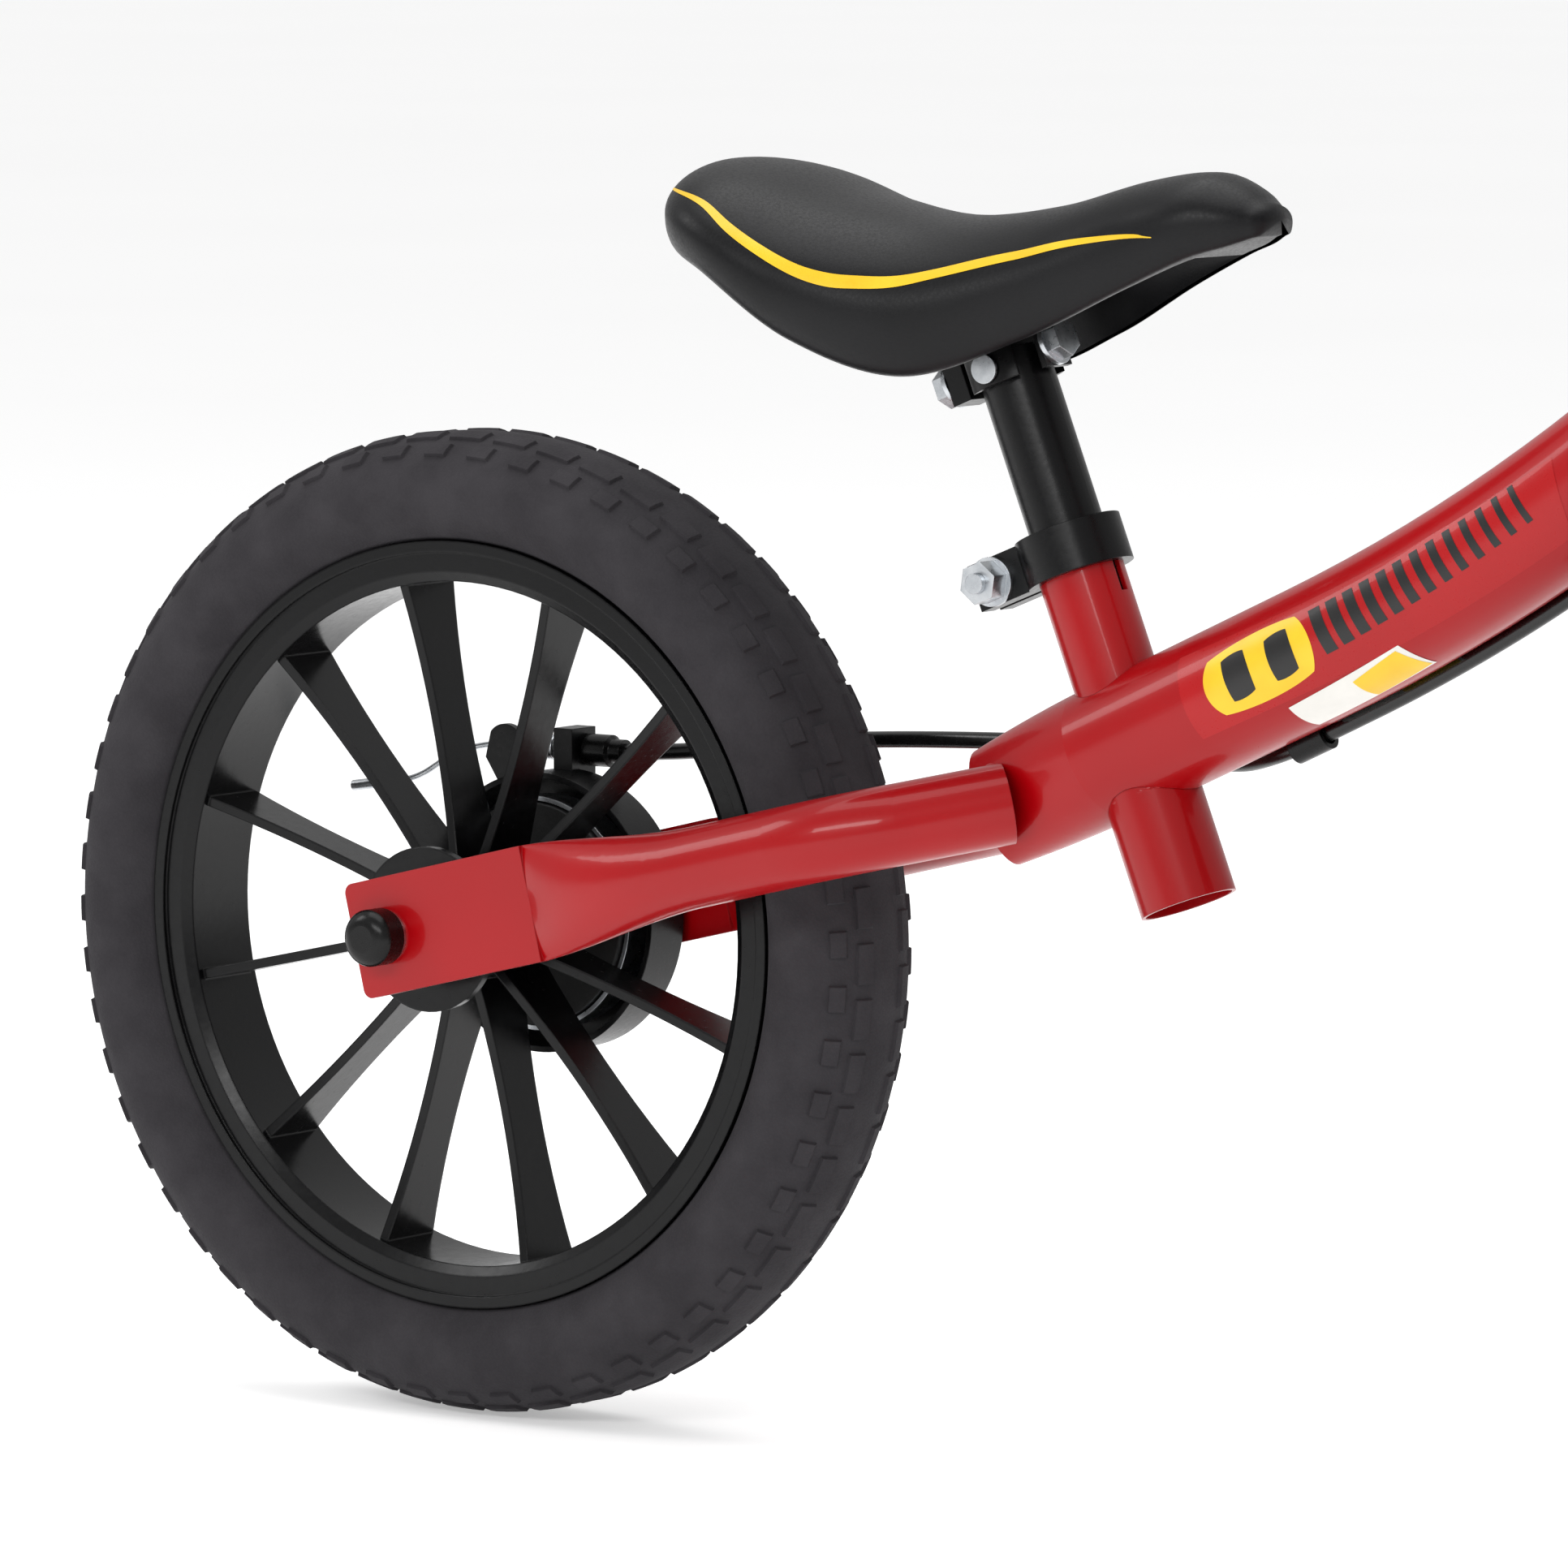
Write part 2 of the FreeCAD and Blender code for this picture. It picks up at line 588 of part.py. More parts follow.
for name, side in SIDES.items():
    blade = plated_tube(BLADE, side, D.front_gap, D.blade_radius, blade_length, 90,
                        D.blade_bend_radius, D.front_gap / 2 + D.plate_thickness / 2 - 2,
                        D.blade_plate_height, D.blade_plate_length, D.blade_bulge)
    node(f"fork_blade_{name}", cut(blade, steerer_plug))

# ---------------------------------------------------------------- seat post, collar and saddle

tilt_line = SEAT.place(up=D.saddle_pivot_level, local=TO_LEFT)
node("seatpost", cut(tube(D.post_radius, D.post_radius - D.post_wall, D.post_bottom, D.post_top,
                          SEAT.place()),
                     rod(D.pin_radius + D.fit_gap, -20, 20, tilt_line)))
collar_bottom = D.seat_tube_top + 1 - D.collar_height
collar_middle = float(collar_bottom + D.collar_height / 2)
collar_outer = D.seat_tube_radius + D.collar_wall
ear_reach = collar_outer + D.collar_ear
ear_block = block(ear_reach, D.collar_slot + D.ear_thickness * 2, D.collar_height,
                  SEAT.place(ahead=-float(ear_reach) / 2, up=collar_middle))
bolt_ahead = -float(ear_reach) + 7
bolt_place = SEAT.place(ahead=bolt_ahead, up=collar_middle, local=TO_RIGHT)
collar = fuse(tube(collar_outer, D.seat_tube_radius, collar_bottom, collar_bottom + D.collar_height,
                   SEAT.place()), ear_block)
bore_tool = rod(D.seat_tube_radius, collar_bottom - 1, collar_bottom + D.collar_height + 1, SEAT.place())
slot_tool = block(ear_reach * 2, D.collar_slot, D.collar_height * 2,
                  SEAT.place(ahead=-float(ear_reach) - 8, up=collar_middle))
hole_tool = rod(D.screw_radius, -20, 20, bolt_place)
node("seat_collar", cut(collar, bore_tool, slot_tool, hole_tool))
ear_face = D.collar_slot / 2 + D.ear_thickness
node("seat_collar_bolt", turned([
    (0, -ear_face - 5), (D.screw_head_radius, -ear_face - 5), (D.screw_head_radius, -ear_face),
    (D.screw_radius, -ear_face), (D.screw_radius, ear_face + 10), (0, ear_face + 10)], bolt_place))
nut_place = bolt_place.multiply(Placement(Vector(0, 0, float(ear_face) + 1.5), Rotation()))
flange = tube(D.screw_head_radius * 1.3, D.screw_radius, ear_face, ear_face + 1.5, bolt_place)
nut = cut(hexagon(D.nut_flats * 0.85, 6.5, nut_place), rod(D.screw_radius, 0, 30, bolt_place))
node("seat_collar_nut", fuse(flange, nut))

PIVOT = Frame(SEAT.point(up=D.saddle_pivot_level).x, SEAT.point(up=D.saddle_pivot_level).z,
              90 - float(D.seat_angle))
cheek_gap = D.post_radius * 2 + D.running_gap * 2
clamp_radius = cheek_gap / 2 + D.cheek_thickness
clamp_height = D.clamp_drop + D.clamp_rise
clamp_middle = float(D.clamp_rise - D.clamp_drop) / 2
lug = block(D.lug_back + D.lug_front, D.lug_width, clamp_height,
            PIVOT.place(ahead=float(D.lug_front - D.lug_back) / 2, up=clamp_middle))
clamp_body = fuse(rod(clamp_radius, -D.clamp_drop, D.clamp_rise, PIVOT.place()), lug)
# The hole is longer than the post is wide, so the clamp can tip before it is tightened.
channel = block(cheek_gap + D.channel_room, cheek_gap, clamp_height,
                PIVOT.place(up=clamp_middle - float(D.cheek_thickness)))
bolt_line = PIVOT.place(up=D.bolt_level, local=AHEAD)
clamp_holes = rod(D.screw_radius, -D.lug_back - 1, D.lug_front + 1, bolt_line)
pin_hole = rod(D.pin_radius, -20, 20, tilt_line)
node("saddle_clamp", cut(clamp_body, channel, clamp_holes, pin_hole))
pin_end = clamp_radius + 0.5
tilt_pin = turned([
    (0, -pin_end - 1), (D.pin_radius * 1.7, -pin_end - 1), (D.pin_radius * 1.7, -pin_end),
    (D.pin_radius, -pin_end), (D.pin_radius, pin_end), (D.pin_radius * 1.7, pin_end),
    (D.pin_radius * 1.7, pin_end + 1), (0, pin_end + 1)], tilt_line)
tip = cheek_gap / 2 + float(D.channel_room) / 2 + 0.2
washer = float(D.washer_depth)
head = float(D.head_depth)
front_bolt = turned([
    (0, tip), (D.screw_radius, tip), (D.screw_radius, D.lug_front),
    (D.screw_head_radius * 1.25, D.lug_front), (D.screw_head_radius * 1.25, D.lug_front + washer),
    (0, D.lug_front + washer)], bolt_line)
front_seat = bolt_line.multiply(Placement(Vector(0, 0, float(D.lug_front) + washer), Rotation()))
front_head = hexagon(D.nut_flats * 0.8, head, front_seat)
rear_bolt = turned([
    (0, -tip), (D.screw_radius, -tip), (D.screw_radius, -D.lug_back),
    (D.screw_head_radius * 1.25, -D.lug_back), (D.screw_head_radius * 1.25, -D.lug_back - washer),
    (0, -D.lug_back - washer)], bolt_line)
rear_seat = bolt_line.multiply(
    Placement(Vector(0, 0, -float(D.lug_back) - washer - head), Rotation()))
rear_head = hexagon(D.nut_flats * 0.8, head, rear_seat)
node("saddle_clamp_bolts", group(tilt_pin, fuse(front_bolt, front_head), fuse(rear_bolt, rear_head)))

# Saddle stations: distance ahead of the pivot, then the crown's and the rim's height above it,
# and half the width at the widest line of the side.
SADDLE = [(-105.5, 54, 40, 14), (-98, 58.5, 33.5, 38), (-80, 57, 26, 51), (-50, 48.5, 7.6, 51),
          (-15, 43.7, -1.8, 44), (20, 47.5, 9.3, 33.2), (50, 55.4, 24.2, 25), (71, 58, 34, 21),
          (83, 52, 39, 14)]
HOLLOW_ENDS = (-92, 66)
pivot_point = PIVOT.point()
widest_share = 0.4
tuck_share = 0.79


def saddle_section(ahead, points):
    """A closed smooth section across the saddle, from its right half's points, top to bottom."""
    across = [Vector(ahead, -side, up) for side, up in points]
    across += [Vector(ahead, side, up) for side, up in reversed(points[1:-1])]
    spline = Part.BSplineCurve()
    spline.interpolate([pivot_point + point for point in across], True)
    section = document.addObject("Part::Feature", "section")
    section.Shape = Part.Wire([spline.toShape()])
    return section


def saddle_skin():
    """An arched crown, sides that tuck in towards the rim, and a flat underside."""
    sections = []
    for ahead, crown, rim, half in SADDLE:
        widest = rim + (crown - rim) * widest_share
        foot = half * tuck_share
        arch = [(half * math.sin(math.radians(turn)),
                 widest + (crown - widest) * math.cos(math.radians(turn))) for turn in (0, 22, 45, 67, 90)]
        tuck = [(foot + (half - foot) * math.cos(math.radians(turn)),
                 widest - (widest - rim) * math.sin(math.radians(turn))) for turn in (35, 70)]
        sections.append(saddle_section(ahead, arch + tuck + [(foot * 0.8, rim), (foot * 0.4, rim), (0, rim)]))
    return loft(sections)


def saddle_room():
    """The hollow under the saddle, open at the bottom."""
    sections = []
    for ahead, crown, rim, half in SADDLE[1:-1]:
        ahead = min(max(ahead, HOLLOW_ENDS[0]), HOLLOW_ENDS[1])
        foot = half * tuck_share - float(D.saddle_rim)
        roof = crown - float(D.saddle_top)
        below = rim - 6
        arch = [(foot * math.sin(math.radians(turn)), rim + (roof - rim) * math.cos(math.radians(turn)))
                for turn in (0, 30, 60, 85)]
        sections.append(saddle_section(ahead, arch + [(foot, below + 2), (foot * 0.9, below),
                                                      (foot * 0.4, below), (0, below)]))
    return loft(sections)


saddle_hollow = saddle_room()
node("saddle", cut(saddle_skin(), saddle_hollow))
boss = document.addObject("Part::Common", "boss")
boss_room = float(D.clamp_rise + D.fit_gap)
boss.Base = block(40, 26, 40, PIVOT.place(up=boss_room + 20))
boss.Tool = saddle_hollow
node("saddle_boss", boss)

# ---------------------------------------------------------------- stem and handlebar

steer_up = STEER.place()
CLAMP = STEER.place(ahead=D.stem_reach, up=D.stem_level, local=TO_LEFT)
stem_solid = fuse(
    rod(D.quill_radius, D.quill_bottom, D.stem_level, steer_up),
    rod(D.quill_radius + 2.5, D.stem_level - 12, D.stem_level + 12, steer_up),
    block(D.stem_reach, 24, 20, STEER.place(ahead=float(D.stem_reach) / 2, up=D.stem_level)),
    rod(D.stem_clamp_radius, -D.stem_clamp_width / 2, D.stem_clamp_width / 2, CLAMP),
    block(14, 22, 20, STEER.place(ahead=D.stem_reach + D.stem_clamp_radius + 3, up=D.stem_level)))
pinch_ahead = float(D.stem_reach + D.stem_clamp_radius) + 4.5
PINCH = STEER.place(ahead=pinch_ahead, up=D.stem_level)
node("handlebar_stem", cut(
    stem_solid, rod(D.bar_radius + D.fit_gap, -40, 40, CLAMP),
    block(30, 60, 2.5, STEER.place(ahead=D.stem_reach + 20, up=D.stem_level)),
    rod(D.screw_radius, -20, 20, PINCH), rod(4.2, 100, 500, steer_up)))
node("stem_pinch_bolt", turned([
    (0, -14), (D.screw_radius, -14), (D.screw_radius, 10), (D.screw_head_radius, 10),
    (D.screw_head_radius, 15), (0, 15)], PINCH))
stem_cap = D.stem_level + 12
node("stem_expander_bolt", turned([
    (0, D.quill_bottom - 20), (4, D.quill_bottom - 20), (4, stem_cap), (7, stem_cap), (7, stem_cap + 6),
    (3, stem_cap + 6), (3, stem_cap + 2), (0, stem_cap + 2)], steer_up))
node("stem_wedge", tube(D.quill_radius - 0.1, 4, D.quill_bottom - 20, D.quill_bottom - 0.3, steer_up))

# Handlebar corners: ahead, to the side and up from the stem clamp's centre.
BAR = [(0, 40, 0), (2, 96, float(D.bar_rise) - 4), (-16, float(D.bar_half_width), float(D.bar_rise))]


def bar_point(ahead, side, up):
    return STEER.point(float(D.stem_reach) + ahead, side, float(D.stem_level) + up)


right_run = [bar_point(ahead, -side, up) for ahead, side, up in reversed(BAR)]
left_run = [bar_point(ahead, side, up) for ahead, side, up in BAR]
bar_wire = bent_wire(right_run + left_run, [float(D.bar_bend_radius)] * 4)
node("handlebar", cut(swept(bar_wire, D.bar_radius), swept(bar_wire, D.bar_radius - D.bar_wall)))


def bar_end_frame(side):
    """At the bar's end: local Z outward along the grip, local X ahead, local Y square to both."""
    inner = bar_point(BAR[1][0], BAR[1][1] * side, BAR[1][2])
    outer = bar_point(BAR[2][0], BAR[2][1] * side, BAR[2][2])
    along = (outer - inner).normalize()
    ahead = STEER.turn.multVec(Vector(1, 0, 0))
    ahead = (ahead - along * ahead.dot(along)).normalize()
    return Placement(outer, Rotation(ahead, along.cross(ahead), along, "ZXY"))


bore = D.bar_radius + D.fit_gap
for name, side in SIDES.items():
    node(f"grip_{name}", turned([
        (bore, -D.grip_length), (D.grip_flange_radius, -D.grip_length),
        (D.grip_flange_radius, -D.grip_length + 3.5), (D.grip_radius, -D.grip_length + 5),
        (D.grip_radius, -5), (D.grip_flange_radius, -3), (D.grip_flange_radius + 1, 2, 6),
        (D.grip_flange_radius - 4, 7), (0, 7), (0, 0.2), (bore, 0.2)], bar_end_frame(side)))

# ---------------------------------------------------------------- brake lever

LEVER = bar_end_frame(-1).multiply(Placement(Vector(), Rotation(Vector(0, 0, 1), -float(D.lever_dip))))
clamp_low = -D.grip_length - 9.3
pivot_ahead = 29.0
pivot_out = float(clamp_low) + 8


def lever_place(ahead=0.0, up=0.0, out=0.0, local=Rotation()):
    return LEVER.multiply(Placement(Vector(ahead, up, out), local))


SQUARE = Rotation(Vector(1, 0, 0), -90)
cheek = D.lever_thickness + D.running_gap * 2 + 5
bracket = fuse(
    tube(D.bar_radius + 4, bore, clamp_low, clamp_low + 9, LEVER),
    plate([(D.bar_radius + 1, clamp_low), (pivot_ahead + 14, clamp_low - 6), (pivot_ahead + 16, clamp_low + 2),
           (pivot_ahead + 8, clamp_low + 14), (pivot_ahead - 6, clamp_low + 14),
           (D.grip_flange_radius + 1, clamp_low + 9), (D.bar_radius + 1, clamp_low + 9)],
          cheek, LEVER),
    rod(4.5, 0, 8, lever_place(pivot_ahead + 10, 0, float(clamp_low) - 10)))
slot_width = D.lever_thickness + D.running_gap * 2
lever_slot = block(64, slot_width, 40, lever_place(pivot_ahead + 24, 0, float(clamp_low) + 18.5))
pin_place = lever_place(pivot_ahead, 0, pivot_out, SQUARE)
node("brake_lever_bracket", cut(bracket, lever_slot, rod(2, -10, 10, pin_place),
                                rod(D.cable_radius, -30, 30, lever_place(pivot_ahead + 10, 0, float(clamp_low)))))
node("brake_lever", plate([
    (pivot_ahead - 5, pivot_out - 4), (pivot_ahead + 4, pivot_out - 6), (pivot_ahead + 14, pivot_out - 5),
    (pivot_ahead + 16, pivot_out + 2), (pivot_ahead + 13, pivot_out + 10), (pivot_ahead + 16, pivot_out + 44),
    (pivot_ahead + 25, pivot_out + float(D.lever_length) - 8, 7), (pivot_ahead + 18, pivot_out + D.lever_length),
    (pivot_ahead + 14, pivot_out + float(D.lever_length) - 8), (pivot_ahead + 8, pivot_out + 44),
    (pivot_ahead + 3, pivot_out + 9), (pivot_ahead - 5, pivot_out + 5)],
    D.lever_thickness, LEVER, holes=[(pivot_ahead, pivot_out, 2 + float(D.fit_gap))]))
node("brake_lever_pin", turned([
    (0, -cheek / 2 - 1), (3.5, -cheek / 2 - 1), (3.5, -cheek / 2), (2, -cheek / 2), (2, cheek / 2),
    (3.5, cheek / 2), (3.5, cheek / 2 + 1), (0, cheek / 2 + 1)], pin_place))
barrel_face = float(clamp_low) - 18
node("brake_lever_adjuster", turned([
    (D.cable_radius, barrel_face), (4, barrel_face), (5, barrel_face + 2), (5, barrel_face + 7.5),
    (3, barrel_face + 8), (D.cable_radius, barrel_face + 8)], lever_place(pivot_ahead + 10)))

# ---------------------------------------------------------------- band brake on the rear hub's left

HUB = Frame(rear_x, axle_z, 0)
hub_line = HUB.place(local=TO_LEFT)
node("brake_drum", turned([
    (D.bearing_radius + 3, D.hub_left), (D.drum_radius, D.hub_left), (D.drum_radius, D.hub_left + D.drum_width),
    (D.drum_radius - 2.5, D.hub_left + D.drum_width), (D.drum_radius - 2.5, D.hub_left + 2.5),
    (D.bearing_radius + 3, D.hub_left + 2.5)], hub_line))
band_inner = D.drum_radius + 0.6
band = tube(band_inner + D.band_thickness, band_inner, D.hub_left + 2, D.hub_left + D.drum_width - 2, hub_line)
node("brake_band", cut(band, block(10, 40, 24, HUB.place(ahead=-15, side=30, up=33))))

ARM_PIVOT = (-12.0, 26.0)
ANCHOR = (-26.0, 48.6)
wire_side = float(back_face + D.running_gap + D.arm_thickness) + 1.3
pivot_line = HUB.place(ahead=ARM_PIVOT[0], up=ARM_PIVOT[1], local=TO_LEFT)
stop_block = block(7, 12, 17, HUB.place(side=wire_side - 2, up=47))
wire_line = HUB.place(side=wire_side, up=ANCHOR[1], local=AHEAD)
shell = turned([
    (D.axle_radius, D.housing_back), (D.housing_radius - D.housing_wall, D.housing_back),
    (D.housing_radius - D.housing_wall, D.hub_left + 4), (D.housing_radius, D.hub_left + 4),
    (D.housing_radius, back_face), (D.axle_radius, back_face)], hub_line)
node("brake_housing", cut(fuse(shell, stop_block), rod(3 + float(D.fit_gap), 30, 60, pivot_line),
                          rod(3, -20, 20, wire_line)))
node("brake_adjuster", turned([
    (1.1, -7), (3, -7), (3, 4), (5, 4.5), (5, 13), (3.8, 14), (3.8, 18), (D.cable_radius, 18),
    (D.cable_radius, 12), (1.1, 12)], wire_line))

arm_side = float(back_face + D.running_gap + D.arm_thickness / 2)
arm_ahead = ANCHOR[0] - ARM_PIVOT[0]
arm_up = ANCHOR[1] - ARM_PIVOT[1]
arm = plate([(-6, -4), (3, -6, 7), (6, 3), (arm_ahead + 7, arm_up + 2, 7), (arm_ahead - 5, arm_up + 4),
             (arm_ahead - 7, arm_up - 4)], D.arm_thickness,
            HUB.place(ahead=ARM_PIVOT[0], side=arm_side, up=ARM_PIVOT[1]))
node("brake_arm", fuse(arm, rod(3, 37.5, arm_side, pivot_line)))
anchor_line = HUB.place(ahead=ANCHOR[0], up=ANCHOR[1], local=TO_LEFT)
arm_face = arm_side + float(D.arm_thickness) / 2
head_place = anchor_line.multiply(Placement(Vector(0, 0, arm_face + 4), Rotation()))
node("brake_anchor_bolt", cut(
    fuse(rod(2.9, arm_face, arm_face + 4, anchor_line), hexagon(D.screw_head_radius * 1.5, 3.2, head_place)),
    rod(D.wire_radius, -20, 20, HUB.place(ahead=ANCHOR[0], side=wire_side, up=ANCHOR[1], local=AHEAD))))
node("brake_return_spring", tube(4, 2.6, ANCHOR[0] + 10.5, -7.2, wire_line))
wire_back = ANCHOR[0] - 5
node("brake_inner_wire", rod(D.wire_radius, wire_back, 11.8, wire_line))
tail_points = [HUB.point(wire_back - 0.2, wire_side, ANCHOR[1]), HUB.point(-46, wire_side, 46),
               HUB.point(-62, wire_side - 1, 36), HUB.point(-82, wire_side - 1, 33)]
tail_end = tail_points[-1]
tail_heading = (tail_end - tail_points[-2]).normalize()
crimp = tube(1.7, D.wire_radius, -4, 5, Placement(tail_end, Rotation(Vector(0, 0, 1), tail_heading)))
node("brake_wire_tail", group(swept(bent_wire(tail_points, [45, 30]), D.wire_radius), crimp))

# ---------------------------------------------------------------- brake cable

cable_out = float(D.main_radius + D.cable_radius) + 0.5
round_by = math.radians(float(D.cable_round))
under = cable_out * math.cos(round_by)
beside = cable_out * math.sin(round_by)
# Corners chosen by hand: ahead of the rear axle, to the left and above the ground.
REAR_ROUTE = [(43, 45.5, 200), (84, 41, 206), (127, 32, 210), (166, 29.5, 212), (200, 28.5, 213),
              (230, 26, 213.5), (257, 20.5, 210)]
FRONT_ROUTE = [(455, -52, 518), (468, -12, 512), (478, 24, 488), (480, 44, 450), (471, 48, 409),
               (457, 43, 375), (446, 37, 346), (438, 29, 318), (430, 12, 298)]
CLIP_STATIONS = [50, 170]


def cable_station(distance):
    """Where the cable lies along the main tube, round to the left of its underside."""
    return main_station(distance, under, beside)


rear_points = [HUB.point(18, wire_side, ANCHOR[1])]
rear_points += [Vector(rear_x + x, y, z) for x, y, z in REAR_ROUTE]
rear_points += [cable_station(distance) for distance in (40, 61, 88, 118, 146, 170)]
front_points = [lever_place(pivot_ahead + 10, 0, barrel_face).Base]
front_points += [Vector(rear_x + x, y, z) for x, y, z in FRONT_ROUTE]
front_points += [cable_station(190), cable_station(170.5)]
for name, points in (("brake_cable_rear", rear_points), ("brake_cable_front", front_points)):
    path = cord_wire(name, points)
    cable = node(name, swept(path, D.cable_radius))
    document.recompute()
    expected = math.pi * float(D.cable_radius) ** 2 * path.Length
    print(name, "length", round(path.Length), "volume against section times length",
          round(cable.Shape.Volume / expected, 4))
clips = []
for distance in CLIP_STATIONS:
    middle = cable_station(distance)
    heading = (cable_station(distance + 1) - cable_station(distance - 1)).normalize()
    line = Placement(middle, Rotation(Vector(0, 0, 1), heading))
    clips.append(tube(D.clip_radius, D.cable_radius + 0.7, -D.clip_length / 2, D.clip_length / 2, line))
clip_group = [cut(clip, main_outer) for clip in clips]
node("cable_clips", group(*clip_group))

# ---------------------------------------------------------------- check and export

document.recompute()
broken = [thing.Name for thing in document.Objects if {"Invalid", "Error"} & set(thing.State)]
if broken:
    raise SystemExit(f"these objects failed to build: {broken}")
for label, thing in NODES.items():
    if thing.Shape.isNull() or not thing.Shape.isValid():
        raise SystemExit(f"{label} has no valid shape")
    if not thing.Shape.Solids:
        raise SystemExit(f"{label} holds no solid")
os.makedirs("parts", exist_ok=True)
for label, thing in NODES.items():
    thing.Shape.exportStep(f"parts/{label}.step")
print(len(NODES), "sub-parts written")
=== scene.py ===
# %% [markdown]
# # A child's balance bike
# The frame, wheels, fork, handlebar and brake come as solids that already have their true sizes.
# This lesson keeps the solids whose shape is right and gives them materials, and models again
# what needs more than a solid: knobbed tyres, the moulded saddle, cables, weld beads, the return
# spring and the printed films on the main tube.
# %% Load the solids
import bpy
import json
from bisect import bisect_right
from math import atan2, cos, hypot, pi, radians, sin, sqrt
from mathutils import Matrix, Vector
from mathutils.bvhtree import BVHTree


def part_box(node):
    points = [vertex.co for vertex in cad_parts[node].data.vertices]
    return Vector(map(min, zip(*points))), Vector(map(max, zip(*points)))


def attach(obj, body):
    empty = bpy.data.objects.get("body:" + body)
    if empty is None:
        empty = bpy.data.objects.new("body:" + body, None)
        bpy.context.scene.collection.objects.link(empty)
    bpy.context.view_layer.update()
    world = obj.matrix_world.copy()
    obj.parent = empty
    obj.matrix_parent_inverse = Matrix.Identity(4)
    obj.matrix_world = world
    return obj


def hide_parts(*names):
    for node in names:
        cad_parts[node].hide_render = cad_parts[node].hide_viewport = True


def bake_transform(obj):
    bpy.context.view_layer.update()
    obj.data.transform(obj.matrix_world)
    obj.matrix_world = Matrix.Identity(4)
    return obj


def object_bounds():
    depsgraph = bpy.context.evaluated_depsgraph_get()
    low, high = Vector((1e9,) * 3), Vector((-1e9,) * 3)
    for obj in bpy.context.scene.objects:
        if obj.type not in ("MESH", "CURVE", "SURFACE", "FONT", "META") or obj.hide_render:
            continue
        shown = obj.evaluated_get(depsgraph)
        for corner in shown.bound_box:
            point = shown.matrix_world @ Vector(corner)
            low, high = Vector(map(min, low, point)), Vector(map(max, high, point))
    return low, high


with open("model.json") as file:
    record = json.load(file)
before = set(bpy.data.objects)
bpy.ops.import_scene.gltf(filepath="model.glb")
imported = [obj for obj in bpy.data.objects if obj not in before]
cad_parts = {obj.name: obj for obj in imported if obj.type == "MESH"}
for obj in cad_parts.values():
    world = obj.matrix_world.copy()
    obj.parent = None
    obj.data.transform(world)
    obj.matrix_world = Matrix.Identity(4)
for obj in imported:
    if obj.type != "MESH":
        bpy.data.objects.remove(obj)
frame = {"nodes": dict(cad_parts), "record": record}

cad_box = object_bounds()
MM = 0.001
print(len(frame["nodes"]), "solids, box", [[round(v, 3) for v in corner] for corner in cad_box])

# %% [markdown]
# ## The camera
# The camera stands to the right of the bike and a little behind it, at about axle height, far off
# with a long lens, so that the wheel stays nearly round. It is placed from the rear axle.
# %% Place the camera
rear_axle = sum((Vector(corner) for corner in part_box("rear_axle")), Vector()) / 2
AZIMUTH, ELEVATION, DISTANCE = radians(35.811), radians(5.813), 3
AIM_RIGHT, AIM_UP = 0.09018, 0.04136  # how far the view's middle is from the axle
toward = Vector((sin(AZIMUTH) * cos(ELEVATION), -cos(AZIMUTH) * cos(ELEVATION), sin(ELEVATION)))
to_right = Vector((cos(AZIMUTH), sin(AZIMUTH), 0))
upward = toward.cross(to_right)
spot = (Vector((rear_axle.x, 0, rear_axle.z)) + toward * DISTANCE + to_right * AIM_RIGHT
        + upward * AIM_UP)
camera = bpy.data.objects.new("camera", bpy.data.cameras.new("camera"))
bpy.context.scene.collection.objects.link(camera)
camera.matrix_world = Matrix([(*axes, place) for axes, place in
                              zip(zip(to_right, upward, toward), spot)] + [(0, 0, 0, 1)])
camera.data.lens = 226.96
camera.data.sensor_width = 36
bpy.context.scene.camera = camera
print("camera at", [round(v, 3) for v in spot])

# %% [markdown]
# ## The brake cable
# A brake cable is a steel wire in a smooth plastic jacket, stiff enough to hold wide curves. A
# smooth NURBS spline with a round bevel is the simplest way to lay one, because its curve has no
# corners. The rear stretch is clipped to the main tube. The front stretch crosses the steering,
# the stem and the bar, so it is three lengths that meet end to end.
# The last of them still ends 51 mm short of the lever's adjuster: its final point is missing.
# %% Lay the cable's stretches
CABLE_RADIUS = 2.5 * MM
REAR_CABLE = [(-0.2570, 0.0464, 0.1986), (-0.2320, 0.0455, 0.2000), (-0.1910, 0.0410, 0.2060),
              (-0.1480, 0.0320, 0.2100), (-0.1090, 0.0295, 0.2120), (-0.0750, 0.0285, 0.2130),
              (-0.0450, 0.0260, 0.2135), (-0.0180, 0.0205, 0.2100), (0.0065, 0.0101, 0.2162),
              (0.0255, 0.0101, 0.2250), (0.0505, 0.0101, 0.2369), (0.0779, 0.0101, 0.2516),
              (0.1027, 0.0101, 0.2665), (0.1235, 0.0101, 0.2801)]
FORK_CABLE = [(0.1239, 0.0101, 0.2804), (0.1403, 0.0101, 0.2921), (0.1550, 0.0120, 0.2980),
              (0.1630, 0.0290, 0.3180), (0.1710, 0.0370, 0.3460), (0.1820, 0.0430, 0.3750),
              (0.1890, 0.0455, 0.3920)]
STEM_CABLE = [(0.1890, 0.0455, 0.3920), (0.1960, 0.0480, 0.4090), (0.2050, 0.0440, 0.4500),
              (0.2040, 0.0340, 0.4690)]
BAR_CABLE = [(0.2040, 0.0340, 0.4690), (0.2030, 0.0240, 0.4880), (0.1930, -0.0120, 0.5120),
             (0.1800, -0.0520, 0.5180)]


